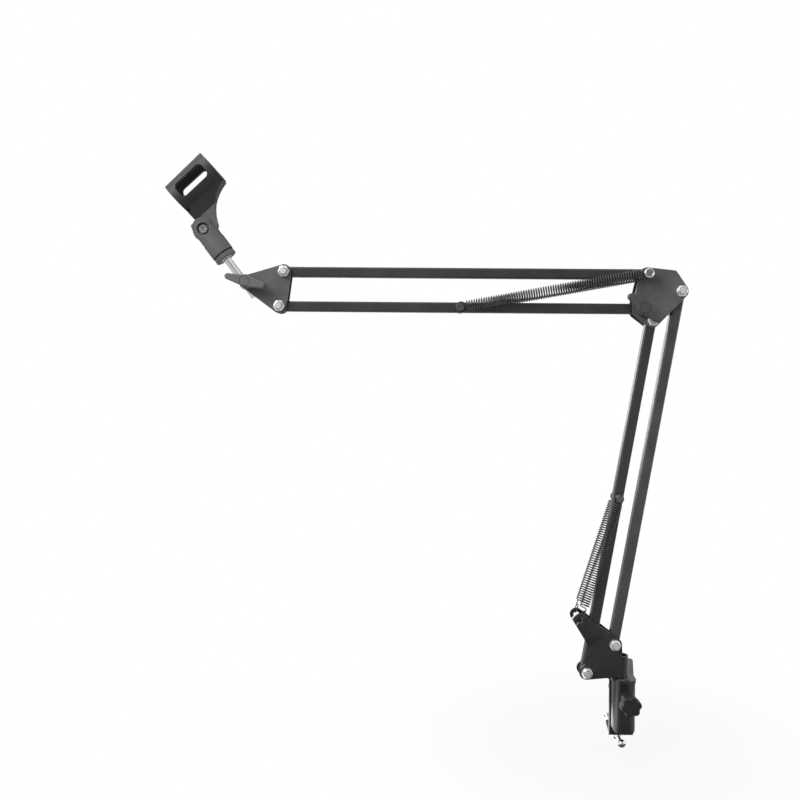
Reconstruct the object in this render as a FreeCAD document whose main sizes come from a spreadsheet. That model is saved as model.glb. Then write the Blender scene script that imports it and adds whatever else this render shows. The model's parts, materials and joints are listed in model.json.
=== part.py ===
"""Spring-balanced microphone boom arm with a table clamp, in millimetres.

X runs to the right along the arm, Z up and Y away from the viewer. The origin lies on the
table side of the clamp's upper jaw, on the axis of the clamp screw.
"""
import math
import os

import FreeCAD
import Part
import Sketcher
from FreeCAD import Placement, Rotation, Vector

SIZES = {
    # Arm sections and their pivots
    "arm_length": 350,
    "tube_width": 10,
    "tube_wall": 1,
    "tube_corner": 1.8,
    "tube_overhang": 4,
    "plug_length": 16,
    "lower_lean_angle": 9.9,
    "upper_rise_angle": 0.5,
    "pivot_dia": 6,
    "running_gap": 0.05,
    "side_gap": 0.1,
    "washer_thickness": 1,
    "washer_dia": 10.6,
    "plate_thickness": 2,
    "plate_edge": 0.4,
    "nut_flats": 10,
    "nut_height": 5,
    "nut_chamfer_dia": 9.8,
    "hexagon_rounding": 1.08,
    "nut_collar_height": 1.5,
    "nut_collar_low_dia": 9.2,
    "nut_collar_high_dia": 7.6,
    "bolt_head_height": 4,
    "bolt_end": 1.2,
    # Places of the pivots in the base, the elbow and the head
    "base_pivot_x": -38.3,
    "lower_spread_x": 27.3,
    "lower_spread_z": 28,
    "elbow_clamp_x": -10.6,
    "elbow_clamp_z": 11.3,
    "upper_spread_x": 4.8,
    "upper_spread_z": 33.3,
    "rod_pivot_x": -30.7,
    "rod_pivot_z": 23.1,
    "lobe_radius": 7,
    "clamp_lobe_radius": 9.5,
    "top_lobe_radius": 6.4,
    "elbow_corner_x": 20.2,
    "elbow_corner_z": 44.6,
    "elbow_corner_radius": 3.5,
    # Base bracket
    "bracket_waist_x": 9.5,
    "bracket_waist_z": 24,
    "ear_x": -7.4,
    "ear_z": 53.2,
    "ear_radius": 6.2,
    "ear_hole_dia": 5.5,
    "ear_slot": 1.5,
    "ear_slot_angle": 228,
    "joggle_angle": 22,
    "crease_left_x": 2.6,
    "crease_left_z": 26,
    "crease_right_x": 22.4,
    "crease_right_z": 38.9,
    "crease_radius": 0.6,
    "bracket_right_x": 34.8,
    "bracket_right_low": -4,
    "bracket_right_high": 20,
    "collar_dia": 12.6,
    "collar_height": 22.5,
    "collar_hollow": 6,
    # Springs and the pegs that hold them
    "upper_wire": 1.2,
    "upper_spring_dia": 10.8,
    "upper_turns": 28,
    "lower_wire": 1.1,
    "lower_spring_dia": 9.5,
    "lower_turns": 20.25,
    "spring_gap": 0.65,
    "spring_lead": 9,
    "peg_dia": 6,
    "peg_head_dia": 7.6,
    "peg_head_height": 1.6,
    "spring_bolt_head_dia": 9.4,
    "spring_bolt_head_height": 3.5,
    # Wing knobs
    "wing_reach": 16.75,
    "wing_waist_radius": 5.6,
    "wing_tip_radius": 3,
    "wing_tip_offset": 1.5,
    "wing_hub_dia": 13,
    "wing_height": 15,
    "wing_foot_height": 7,
    "wing_edge": 1.2,
    "wing_cap_dia": 9.2,
    "wing_cap_groove": 0.5,
    "elbow_wing_angle": -35,
    "head_wing_angle": -9.8,
    "insert_dia": 8,
    "insert_depth": 9,
    "clamp_bolt_grip": 8,
    # Rod and its eye bolt
    "rod_dia": 8,
    "rod_tilt": 53.2,
    "rod_offset": 3.2,
    "rod_tail": 14,
    "rod_thread_dia": 9.5,
    "rod_thread_length": 14,
    "eye_radius": 5.4,
    # Clip
    "clip_reach": 66,
    "clip_tilt": 42,
    "clip_base_dia": 22.4,
    "clip_base_length": 34,
    "clip_flange_dia": 21.6,
    "clip_flange_height": 4,
    "clip_groove_dia": 19,
    "clip_groove_height": 1.6,
    "clip_insert_dia": 14,
    "clip_slot_depth": 13.5,
    "tongue_width": 8,
    "knuckle_radius": 11.5,
    "clip_screw_dia": 4,
    "clip_screw_head_dia": 8,
    "clip_screw_head_height": 2.4,
    "clip_screw_seat": 7.2,
    "clip_recess_dia": 12,
    "cross_width": 1,
    "cross_length": 5,
    "cross_depth": 1.4,
    "clip_nut_flats": 7,
    "clip_nut_height": 3,
    "sleeve_along": 23.2,
    "sleeve_above": 39.9,
    "sleeve_length": 47.5,
    "sleeve_tail_dia": 34,
    "sleeve_head_dia": 36,
    "sleeve_wall": 3,
    "window_rise": 0.5,
    "window_length": 33.5,
    "window_width": 15,
    "window_corner": 4.5,
    "web_drop": 27.6,
    "web_corner_radius": 2.5,
    "web_tail_along": 0.7,
    "web_head_along": 43.5,
    "web_above": 23.8,
    "web_hollow_radius": 44,
    "web_hollow_along": 53.5,
    "web_hollow_below": 21.2,
    # Clamp
    "post_front": 32,
    "post_x": -2.5,
    "post_dia": 9.4,
    "socket_width": 22,
    "socket_depth": 16.5,
    "socket_corner": 7.5,
    "socket_foot_corner": 4,
    "socket_rim": 0.7,
    "socket_rim_height": 3.5,
    "socket_rim_corner": 8.2,
    "socket_top": 5,
    "socket_height": 53,
    "post_depth": 46,
    "thrust_washer_dia": 17,
    "strip_width": 24,
    "strip_thickness": 3,
    "strip_bend": 3,
    "jaw_opening": 54,
    "upper_jaw_reach": 33,
    "upper_jaw_width": 50,
    "lower_jaw_reach": 10.5,
    "lower_jaw_width": 17,
    "jaw_corner": 5,
    "screw_dia": 10,
    "screw_nut_flats": 14,
    "screw_nut_height": 3.5,
    "screw_head_dia": 11,
    "screw_head_length": 10,
    "screw_rise": 37,
    "bar_drop": 6.5,
    "pad_dia": 16,
    "pad_thickness": 2.5,
    "pad_ball_dia": 7,
    "pad_neck_dia": 5,
    "pad_neck_length": 3,
    "pad_cup_dia": 13,
    "pad_cup_drop": 1.5,
    "bar_dia": 5,
    "bar_length": 66,
    "bar_offset": 7,
    "bar_ball_dia": 8,
    "knob_dia": 20,
    "knob_lobe_dia": 7.6,
    "knob_lobes": 6,
    "knob_turn": 12,
    "knob_height": 11,
    "knob_stem_dia": 10,
    "knob_stem_height": 4,
    "knob_edge": 1.2,
    "knob_gap": 6,
    "lock_screw_drop": 16.5,
    "lock_boss_dia": 12,
    "lock_boss_height": 4,
}

doc = FreeCAD.newDocument("boom_arm")
sheet = doc.addObject("Spreadsheet::Sheet", "Dim")
for row, (alias, number) in enumerate(SIZES.items(), start=1):
    sheet.set(f"A{row}", alias)
    sheet.set(f"B{row}", str(number))
    sheet.setAlias(f"B{row}", alias)
doc.recompute()

PIECES = []
HOLE = "Dim.pivot_dia + 2 * Dim.running_gap"
Z_AXIS = Vector(0, 0, 1)


def size(*names):
    """The sum of the named cells, less those with a minus sign before their name."""
    total = 0.0
    for name in names:
        number = float(sheet.get(name.lstrip("-")))
        total += -number if name.startswith("-") else number
    return total


def formula(*names):
    """The same sum as an expression."""
    terms = [f"(-Dim.{name[1:]})" if name.startswith("-") else f"Dim.{name}" for name in names]
    return " + ".join(terms)


def bind(thing, **expressions):
    """Tie properties of a document object to the sheet."""
    for prop, expression in expressions.items():
        thing.setExpression(prop, expression)
    return thing


# Places in the plane of the arm: x to the right, z up, depth towards the viewer.
FRONT = Rotation(Vector(1, 0, 0), 90)


def spot(x, z, depth=0.0, turn=0.0):
    """A placement whose local XY is the arm's plane and whose local Z faces the viewer."""
    base = Vector(x, -size("post_front") - depth, z)
    return Placement(base, FRONT.multiply(Rotation(Z_AXIS, turn)))


def moved(place, x=0.0, y=0.0, z=0.0):
    """The same placement after a move along its own axes."""
    return place.multiply(Placement(Vector(x, y, z), Rotation()))


LOWER_TURN = 90 - size("lower_lean_angle")
UPPER_TURN = 180 - size("upper_rise_angle")
LENGTH = size("arm_length")


def along(start, turn, distance):
    """The point at a distance from start in the arm's plane."""
    angle = math.radians(turn)
    return (start[0] + distance * math.cos(angle), start[1] + distance * math.sin(angle))


def offset(start, x_name, z_name):
    """The point that lies one pair of cells away from start."""
    return (start[0] + size(x_name), start[1] + size(z_name))


BASE_LEFT = (size("base_pivot_x"), size("socket_top", "washer_thickness", "lobe_radius"))
BASE_RIGHT = offset(BASE_LEFT, "lower_spread_x", "lower_spread_z")
ELBOW_LEFT = along(BASE_LEFT, LOWER_TURN, LENGTH)
ELBOW_RIGHT = offset(ELBOW_LEFT, "lower_spread_x", "lower_spread_z")
ELBOW_CLAMP = offset(ELBOW_LEFT, "elbow_clamp_x", "elbow_clamp_z")
ELBOW_TOP = offset(ELBOW_CLAMP, "upper_spread_x", "upper_spread_z")
HEAD_LOW = along(ELBOW_CLAMP, UPPER_TURN, LENGTH)
HEAD_TOP = along(ELBOW_TOP, UPPER_TURN, LENGTH)
HEAD_ROD = offset(HEAD_LOW, "rod_pivot_x", "rod_pivot_z")

HALF_TUBE = size("tube_width") / 2
PLATE_INSIDE = HALF_TUBE + size("washer_thickness")
PLATE_OUTSIDE = PLATE_INSIDE + size("plate_thickness")
STACK = "Dim.tube_width + 2 * Dim.washer_thickness + 2 * Dim.plate_thickness"


def keep(label, thing, place=None):
    """Name a finished piece, put it in its place and list it for export."""
    thing.Label = label
    if place is not None:
        thing.Placement = place
    PIECES.append(thing)
    return thing


# Primitives and booleans that stay tied to the sheet.
def cylinder(radius, height, place=None):
    solid = bind(doc.addObject("Part::Cylinder", "Cylinder"), Radius=radius, Height=height)
    if place is not None:
        solid.Placement = place
    return solid


def cone(low_radius, high_radius, height, place=None):
    solid = doc.addObject("Part::Cone", "Cone")
    bind(solid, Radius1=low_radius, Radius2=high_radius, Height=height)
    if place is not None:
        solid.Placement = place
    return solid


def ball(radius, place):
    solid = bind(doc.addObject("Part::Sphere", "Sphere"), Radius=radius)
    solid.Placement = place
    return solid


def box(length, width, height, place):
    solid = bind(doc.addObject("Part::Box", "Box"), Length=length, Width=width, Height=height)
    solid.Placement = place
    return solid


def hexagon(flats, height, place=None):
    solid = doc.addObject("Part::Prism", "Hexagon")
    solid.Polygon = 6
    bind(solid, Circumradius=f"({flats}) / sqrt(3)", Height=height)
    if place is not None:
        solid.Placement = place
    return solid


def chamfered_hexagon(flats, height, chamfer, place):
    """A hexagon with rounded corners and a chamfer turned on its end."""
    turned = cone(f"({chamfer}) / 2 + ({height}) * sqrt(3)", f"({chamfer}) / 2", height)
    barrel = cylinder(f"({flats}) / 2 * Dim.hexagon_rounding", height)
    solid = common(common(hexagon(flats, height), barrel), turned)
    solid.Placement = place
    return solid


def fuse(*solids):
    joined = doc.addObject("Part::MultiFuse", "Fuse")
    joined.Shapes = list(solids)
    joined.Refine = True
    return joined


def cut(base, *tools):
    result = doc.addObject("Part::Cut", "Cut")
    result.Base = base
    result.Tool = tools[0] if len(tools) == 1 else fuse(*tools)
    return result


def common(first, second):
    result = doc.addObject("Part::MultiCommon", "Common")
    result.Shapes = [first, second]
    return result


def group(*solids):
    result = doc.addObject("Part::Compound", "Group")
    result.Links = list(solids)
    return result


def at(x=0.0, y=0.0, z=0.0, axis=None):
    """A placement at a point, with its local Z turned to an axis."""
    turn = Rotation() if axis is None else Rotation(Z_AXIS, axis)
    return Placement(Vector(x, y, z), turn)


# Sketches.
def plane_of(body, role):
    return next(item for item in body.Origin.OriginFeatures if item.Role == role)


def sketch_in(body, role):
    """A sketch on one of a body's own origin planes."""
    sketch = body.newObject("Sketcher::SketchObject", "Sketch")
    sketch.AttachmentSupport = [(plane_of(body, role), "")]
    sketch.MapMode = "FlatFace"
    return sketch


def place_centre(sketch, element, x_names, z_names):
    """Fix the centre of an arc or circle at the sums of the named cells."""
    for kind, names in (("DistanceX", x_names), ("DistanceY", z_names)):
        if names:
            index = sketch.addConstraint(
                Sketcher.Constraint(kind, -1, 1, element, 3, size(*names)))
            sketch.setExpression(f"Constraints[{index}]", formula(*names))
        else:
            line = -2 if kind == "DistanceX" else -1
            sketch.addConstraint(Sketcher.Constraint("PointOnObject", element, 3, line))


def outline(sketch, lobes):
    """Draw round lobes, given anticlockwise, joined by their outer tangent lines."""
    count = len(lobes)
    centres = [Vector(size(*lobe[0]), size(*lobe[1]), 0) for lobe in lobes]
    radii = [size(lobe[2]) for lobe in lobes]
    normals = []
    for i in range(count):
        j = (i + 1) % count
        step = centres[j] - centres[i]
        lean = (radii[i] - radii[j]) / step.Length
        step.normalize()
        side = Vector(step.y, -step.x, 0)
        normals.append(side * math.sqrt(1 - lean * lean) + step * lean)
    for i in range(count):
        start = math.atan2(normals[i - 1].y, normals[i - 1].x)
        end = math.atan2(normals[i].y, normals[i].x)
        circle = Part.Circle(centres[i], Z_AXIS, radii[i])
        sketch.addGeometry(Part.ArcOfCircle(circle, start, end))
    for i in range(count):
        j = (i + 1) % count
        sketch.addGeometry(Part.LineSegment(centres[i] + normals[i] * radii[i],
                                            centres[j] + normals[i] * radii[j]))
    for i in range(count):
        j = (i + 1) % count
        sketch.addConstraint(Sketcher.Constraint("Tangent", i, 2, count + i, 1))
        sketch.addConstraint(Sketcher.Constraint("Tangent", count + i, 2, j, 1))
    for i, (x_names, z_names, radius) in enumerate(lobes):
        place_centre(sketch, i, x_names, z_names)
        index = sketch.addConstraint(Sketcher.Constraint("Radius", i, radii[i]))
        sketch.setExpression(f"Constraints[{index}]", formula(radius))


def drill(sketch, x_names, z_names, diameter):
    """Add a round hole to a sketch."""
    centre = Vector(size(*x_names), size(*z_names), 0)
    element = sketch.addGeometry(Part.Circle(centre, Z_AXIS, 1.0))
    place_centre(sketch, element, x_names, z_names)
    index = sketch.addConstraint(Sketcher.Constraint("Diameter", element, 2.0))
    sketch.setExpression(f"Constraints[{index}]", diameter)


def rounded_rectangle(sketch, width, height, corner):
    """Draw a rectangle with round corners about the sketch's origin; the sizes are expressions."""
    half = 4.0
    bend = 0.5
    corners = [Vector(half - bend, half - bend, 0), Vector(bend - half, half - bend, 0),
               Vector(bend - half, bend - half, 0), Vector(half - bend, bend - half, 0)]
    arcs = []
    for i, centre in enumerate(corners):
        circle = Part.Circle(centre, Z_AXIS, bend)
        start = i * math.pi / 2
        arcs.append(sketch.addGeometry(Part.ArcOfCircle(circle, start, start + math.pi / 2)))
    sides = []
    for i in range(4):
        begin = sketch.Geometry[arcs[i]].EndPoint
        end = sketch.Geometry[arcs[(i + 1) % 4]].StartPoint
        sides.append(sketch.addGeometry(Part.LineSegment(begin, end)))
    for i in range(4):
        sketch.addConstraint(Sketcher.Constraint("Tangent", arcs[i], 2, sides[i], 1))
        sketch.addConstraint(Sketcher.Constraint("Tangent", sides[i], 2, arcs[(i + 1) % 4], 1))
        if i:
            sketch.addConstraint(Sketcher.Constraint("Equal", arcs[0], arcs[i]))
        sketch.addConstraint(Sketcher.Constraint("Vertical" if i % 2 else "Horizontal", sides[i]))
    dimensions = (("Radius", (arcs[0],), bend, corner),
                  ("DistanceY", (-1, 1, sides[0], 1), half, f"({height}) / 2"),
                  ("DistanceY", (sides[2], 1, -1, 1), half, f"({height}) / 2"),
                  ("DistanceX", (sides[1], 1, -1, 1), half, f"({width}) / 2"),
                  ("DistanceX", (-1, 1, sides[3], 1), half, f"({width}) / 2"))
    for kind, geometry, number, expression in dimensions:
        index = sketch.addConstraint(Sketcher.Constraint(kind, *geometry, number))
        sketch.setExpression(f"Constraints[{index}]", expression)


def pad(body, sketch, length, both_ways=False):
    feature = body.newObject("PartDesign::Pad", "Pad")
    feature.Profile = sketch
    feature.Midplane = both_ways
    feature.setExpression("Length", length)
    return feature


def pierce(body, sketch):
    """Cut a sketch right through a body, both ways from its plane."""
    feature = body.newObject("PartDesign::Pocket", "Pocket")
    feature.Profile = sketch
    feature.Type = "ThroughAll"
    feature.Midplane = True
    return feature


def soften(body, feature, radius, chosen):
    """Round the edges of a feature that the test picks."""
    doc.recompute()
    edges = [f"Edge{i}" for i, edge in enumerate(feature.Shape.Edges, start=1) if chosen(edge)]
    rounding = body.newObject("PartDesign::Fillet", "Rounding")
    rounding.Base = (feature, edges)
    rounding.setExpression("Radius", radius)
    return rounding


def flat_at(height, holes=False):
    """A test for edges at one height, with or without the rims of round holes."""
    def chosen(edge):
        box_of = edge.BoundBox
        level = abs(box_of.ZMin - height) < 1e-6 and abs(box_of.ZMax - height) < 1e-6
        return level and (holes or not edge.isClosed())
    return chosen


def prism(lobes, low, height, holes=()):
    """A straight solid over an outline of lobes, from one depth upwards."""
    sketch = doc.addObject("Sketcher::SketchObject", "Outline")
    outline(sketch, lobes)
    for x_names, z_names, diameter in holes:
        drill(sketch, x_names, z_names, diameter)
    solid = doc.addObject("Part::Extrusion", "Prism")
    solid.Base = sketch
    solid.DirMode = "Custom"
    solid.Dir = Z_AXIS
    solid.Solid = True
    solid.setExpression("LengthFwd", height)
    solid.Placement = at(z=low)
    return solid


# Tubes and the bored plugs in their ends.
def tube(label, start, turn, peg):
    body = doc.addObject("PartDesign::Body", "Tube")
    profile = sketch_in(body, "YZ_Plane")
    rounded_rectangle(profile, "Dim.tube_width", "Dim.tube_width", "Dim.tube_corner")
    inside = "Dim.tube_width - 2 * Dim.tube_wall"
    rounded_rectangle(profile, inside, inside, "Dim.tube_corner / 4")
    profile.setExpression("AttachmentOffset.Base.z", "-Dim.tube_overhang")
    pad(body, profile, "Dim.arm_length + 2 * Dim.tube_overhang")
    holes = sketch_in(body, "XY_Plane")
    drill(holes, (), (), HOLE)
    drill(holes, ("arm_length",), (), HOLE)
    pierce(body, holes)
    if peg:
        seat = sketch_in(body, "XY_Plane")
        element = seat.addGeometry(Part.Circle(Vector(LENGTH / 2, 0, 0), Z_AXIS, 1.0))
        seat.addConstraint(Sketcher.Constraint("PointOnObject", element, 3, -1))
        index = seat.addConstraint(Sketcher.Constraint("DistanceX", -1, 1, element, 3, LENGTH / 2))
        seat.setExpression(f"Constraints[{index}]", "Dim.arm_length / 2")
        index = seat.addConstraint(Sketcher.Constraint("Diameter", element, 2.0))
        seat.setExpression(f"Constraints[{index}]", "Dim.peg_dia")
        pierce(body, seat)
    keep(label, body, spot(*start, turn=turn))


def tube_plugs(label, start, turn):
    inside = "Dim.tube_width - 2 * Dim.tube_wall - 2 * Dim.running_gap"
    half_inside = HALF_TUBE - size("tube_wall")
    plugs = []
    for pivot, end in ((0.0, -size("tube_overhang")),
                       (LENGTH, LENGTH + size("tube_overhang") - size("plug_length"))):
        body = doc.addObject("PartDesign::Body", "Plug")
        profile = sketch_in(body, "YZ_Plane")
        rounded_rectangle(profile, inside, inside, "Dim.tube_corner / 4")
        profile.AttachmentOffset = at(z=end)
        pad(body, profile, "Dim.plug_length")
        hole = cylinder(f"({HOLE}) / 2", "Dim.tube_width", at(x=pivot, z=-half_inside - 1))
        plugs.append(cut(body, hole))
    keep(label, group(*plugs), spot(*start, turn=turn))


SECTIONS = (("lower_left_tube", BASE_LEFT, LOWER_TURN, True),
            ("lower_right_tube", BASE_RIGHT, LOWER_TURN, False),
            ("upper_lower_tube", ELBOW_CLAMP, UPPER_TURN, True),
            ("upper_top_tube", ELBOW_TOP, UPPER_TURN, False))
for name, first_pivot, direction, has_peg in SECTIONS:
    tube(name, first_pivot, direction, has_peg)
    tube_plugs(name + "_plugs", first_pivot, direction)


# Fasteners of the pivots.
def pivot_bolt(place):
    """A hexagon bolt whose head lies behind the rear plate and whose end faces the viewer."""
    under_head = -PLATE_OUTSIDE
    shank = cylinder("Dim.pivot_dia / 2", f"{STACK} + Dim.nut_height + Dim.bolt_end", at(z=under_head))
    head = chamfered_hexagon("Dim.nut_flats", "Dim.bolt_head_height", "Dim.nut_chamfer_dia",
                             at(z=under_head, axis=Vector(0, 0, -1)))
    bolt = fuse(shank, head)
    bolt.Placement = place
    return bolt


def pivot_nut(place):
    """A lock nut on the front plate: a chamfered hexagon with a round collar."""
    nut = chamfered_hexagon("Dim.nut_flats", "Dim.nut_height - Dim.nut_collar_height",
                            "Dim.nut_chamfer_dia", at())
    collar = cone("Dim.nut_collar_low_dia / 2", "Dim.nut_collar_high_dia / 2", "Dim.nut_collar_height",
                  at(z=size("nut_height", "-nut_collar_height")))
    hole = cylinder(f"({HOLE}) / 2", "Dim.nut_height")
    solid = cut(fuse(nut, collar), hole)
    solid.Placement = moved(place, z=PLATE_OUTSIDE)
    return solid


def pivot_washers(pivot):
    """The nylon washers on both sides of a tube."""
    washers = []
    for low in (HALF_TUBE, -PLATE_INSIDE):
        disc = cylinder("Dim.washer_dia / 2", "Dim.washer_thickness")
        washer = cut(disc, cylinder(f"({HOLE}) / 2", "Dim.washer_thickness"))
        washer.Placement = spot(*pivot, depth=low)
        washers.append(washer)
    return washers


JOINTS = (("base", (BASE_LEFT, BASE_RIGHT), (BASE_LEFT, BASE_RIGHT)),
          ("elbow", (ELBOW_LEFT, ELBOW_RIGHT), (ELBOW_LEFT, ELBOW_RIGHT, ELBOW_CLAMP, ELBOW_TOP)),
          ("head", (HEAD_LOW, HEAD_TOP), (HEAD_LOW, HEAD_TOP)))
for name, bolted, washered in JOINTS:
    keep(name + "_bolts", group(*[pivot_bolt(spot(*pivot)) for pivot in bolted]))
    keep(name + "_nuts", group(*[pivot_nut(spot(*pivot)) for pivot in bolted]))
    pairs = [pivot_washers(pivot) for pivot in washered]
    keep(name + "_washers", group(*sum(pairs, [])))


# Plates of the elbow and the head, front and rear alike.
def plate_pair(name, lobes, holes, pivot):
    for side, low in (("front", PLATE_INSIDE), ("rear", -PLATE_OUTSIDE)):
        body = doc.addObject("PartDesign::Body", "Plate")
        sketch = sketch_in(body, "XY_Plane")
        outline(sketch, lobes)
        for x_names, z_names in holes:
            drill(sketch, x_names, z_names, HOLE)
        sheet_metal = pad(body, sketch, "Dim.plate_thickness")
        outer = size("plate_thickness") if side == "front" else 0.0
        soften(body, sheet_metal, "Dim.plate_edge", flat_at(outer))
        keep(f"{name}_plate_{side}", body, spot(*pivot, depth=low))


RIGHT = (("lower_spread_x",), ("lower_spread_z",))
CLAMP = (("elbow_clamp_x",), ("elbow_clamp_z",))
TOP = (("elbow_clamp_x", "upper_spread_x"), ("elbow_clamp_z", "upper_spread_z"))
CORNER = (("elbow_corner_x",), ("elbow_corner_z",))
ORIGIN = ((), ())
plate_pair("elbow",
           [(*ORIGIN, "lobe_radius"), (*RIGHT, "lobe_radius"), (*CORNER, "elbow_corner_radius"),
            (*TOP, "top_lobe_radius"), (*CLAMP, "clamp_lobe_radius")],
           [ORIGIN, RIGHT, TOP, CLAMP], ELBOW_LEFT)
HEAD_UP = (("upper_spread_x",), ("upper_spread_z",))
ROD_PIVOT = (("rod_pivot_x",), ("rod_pivot_z",))
plate_pair("head",
           [(*ORIGIN, "lobe_radius"), (*HEAD_UP, "lobe_radius"), (*ROD_PIVOT, "lobe_radius")],
           [ORIGIN, HEAD_UP, ROD_PIVOT], HEAD_LOW)


# Springs: round wire that winds from one end loop to the other. The loops run between these angles.
LOOP_STOPS = (-30, 120, 270)


def arc_between(start, tangent, end):
    """The arc that leaves start along a tangent and reaches end, and its tangent there."""
    chord = end - start
    reach = chord.Length / (2 * tangent.dot(chord) / chord.Length)
    corner = start + tangent * reach
    weight = chord.Length / 2 / reach
    middle = (start + corner * (2 * weight) + end) / (2 * (1 + weight))
    leaving = (end - corner).normalize()
    return Part.Arc(start, middle, end), leaving


def biarc(start, start_tangent, end, end_tangent):
    """Two arcs that join two points smoothly."""
    step = end - start
    both = start_tangent + end_tangent
    spread = 2 * (1 - start_tangent.dot(end_tangent))
    along_both = step.dot(both)
    reach = (math.sqrt(along_both ** 2 + spread * step.dot(step)) - along_both) / spread
    middle = (start + start_tangent * reach + end - end_tangent * reach) / 2
    first, tangent = arc_between(start, start_tangent, middle)
    second, _ = arc_between(middle, tangent, end)
    return [first, second]


def spring_path(span, coil_radius, lead, turns):
    """The centre line of a spring along X, with an end loop about 0 and about span.

    The first loop lies flat in a plane of equal z. The wire leaves it along X and bends over
    into the coil. The other end is the same hook, turned half round the coil's middle.
    """
    bend = coil_radius / 3
    slope = 0.0
    for _ in range(30):
        coil_length = span - 2 * (lead + bend * math.cos(slope))
        slope = math.atan2(coil_length, 2 * math.pi * coil_radius * turns)
    coil_start = (span - coil_length) / 2
    climb = coil_length / (2 * math.pi * turns)
    turned = math.pi / 2 - slope
    drop = bend * (1 - math.cos(turned))

    def loop_point(degrees):
        angle = math.radians(degrees)
        return Vector(coil_radius * math.cos(angle), coil_radius * math.sin(angle), -drop)

    def coil_point(angle):
        return Vector(coil_start + climb * angle,
                      -coil_radius * math.cos(angle), coil_radius * math.sin(angle))

    def coil_tangent(angle):
        tangent = Vector(climb, coil_radius * math.sin(angle), coil_radius * math.cos(angle))
        return tangent.normalize()

    bend_start = Vector(lead, -coil_radius, -drop)
    bend_middle = bend_start + Vector(bend * math.sin(turned / 2), 0, bend * (1 - math.cos(turned / 2)))
    hook = []
    for begin, end in zip(LOOP_STOPS, LOOP_STOPS[1:]):
        hook.append(Part.Arc(loop_point(begin), loop_point((begin + end) / 2), loop_point(end)))
    hook.append(Part.LineSegment(loop_point(LOOP_STOPS[-1]), bend_start))
    hook.append(Part.Arc(bend_start, bend_middle, coil_point(0)))
    whole = 2 * math.pi * turns
    stops = [step * math.pi for step in range(int(2 * turns) + 1)]
    if whole - stops[-1] > 0.1:
        stops.append(whole)
    coil = []
    for begin, end in zip(stops, stops[1:]):
        coil += biarc(coil_point(begin), coil_tangent(begin), coil_point(end), coil_tangent(end))
    first_half = [curve.toShape() for curve in hook]
    axis = Vector(0, -math.cos(whole / 2), math.sin(whole / 2))
    second_half = []
    for edge in reversed(first_half):
        other = edge.copy()
        other.rotate(Vector(span / 2, 0, 0), axis, 180)
        second_half.append(other)
    return first_half + [curve.toShape() for curve in coil] + second_half


def least_gap(edges, wire_dia, apart):
    """The least gap of a wire to itself between points that lie apart along it."""
    points = []
    walked = 0.0
    for edge in edges:
        steps = max(2, int(edge.Length / (wire_dia / 2)))
        ordered = edge.discretize(steps + 1)
        if points and (ordered[0] - points[-1][1]).Length > (ordered[-1] - points[-1][1]).Length:
            ordered.reverse()
        for number, point in enumerate(ordered[:-1]):
            points.append((walked + edge.Length * number / steps, point))
        walked += edge.Length
    nearest = min((one - other).Length
                  for i, (walk, one) in enumerate(points)
                  for other_walk, other in points[i + 1:]
                  if other_walk - walk > apart and abs(one.x - other.x) < 4 * wire_dia)
    return nearest - wire_dia


def spring(label, kind, start, start_back, end, end_back):
    """A front and a rear spring between two points of the arm's plane."""
    wire = size(kind + "_wire")
    coil_radius = (size(kind + "_spring_dia") - wire) / 2
    reach = Vector(end[0] - start[0], end[1] - start[1], 0)
    turn = math.degrees(math.atan2(reach.y, reach.x))
    span = reach.Length - start_back - end_back
    edges = spring_path(span, coil_radius, size("spring_lead"), size(kind + "_turns"))
    gap = least_gap(edges, wire, math.pi * coil_radius)
    print(f"{label}: least gap of the wire to itself {gap:.2f} mm")
    begin = edges[0].FirstParameter
    section = Part.Circle(edges[0].valueAt(begin), edges[0].tangentAt(begin), wire / 2)
    sweep = Part.BRepOffsetAPI.MakePipeShell(Part.Wire(edges))
    sweep.add(Part.Wire(section.toShape()))
    sweep.build()
    sweep.makeSolid()
    solid = sweep.shape()
    depth = spring_depth(kind)
    for side, flip in (("front", 0), ("rear", 180)):
        feature = doc.addObject("Part::Feature", "Spring")
        feature.Shape = solid
        place = spot(*start, depth=depth if flip == 0 else -depth, turn=turn)
        rolled = Placement(Vector(start_back, 0, 0), Rotation(Vector(1, 0, 0), flip))
        keep(f"{label}_{side}", feature, place.multiply(rolled))


def spring_depth(kind):
    """How far a spring's axis lies before or behind the middle of the arm."""
    return HALF_TUBE + size(kind + "_spring_dia") / 2 + size("spring_gap")


def pin_back(kind, pin_dia):
    """How far a loop's middle lies from its pin when the loop pulls on it."""
    inner = size(kind + "_spring_dia") / 2 - size(kind + "_wire")
    return inner - size(pin_dia) / 2 - size("side_gap")


UPPER_PEG = along(ELBOW_CLAMP, UPPER_TURN, LENGTH / 2)
LOWER_PEG = along(BASE_LEFT, LOWER_TURN, LENGTH / 2)
EAR = offset(BASE_LEFT, "ear_x", "ear_z")
spring("upper_spring", "upper", UPPER_PEG, pin_back("upper", "peg_dia"),
       ELBOW_TOP, pin_back("upper", "pivot_dia"))
EAR_BACK = size("lower_spring_dia", "-lower_wire") / 2 + size("ear_hole_dia") / 4
spring("lower_spring", "lower", LOWER_PEG, pin_back("lower", "peg_dia"), EAR, EAR_BACK)


# Pegs across the tubes and the long bolt at the elbow, which hold the springs.
def cross_pin(label, shank_dia, neck, head, place):
    """A pin with the same head at both ends."""
    shank = cylinder(f"Dim.{shank_dia} / 2", f"{2 * neck}", at(z=-neck))
    heads = [head(at(z=neck)), head(at(z=-neck, axis=Vector(0, 0, -1)))]
    keep(label, fuse(shank, *heads), place)


def peg_head(place):
    return cylinder("Dim.peg_head_dia / 2", "Dim.peg_head_height", place)


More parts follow.
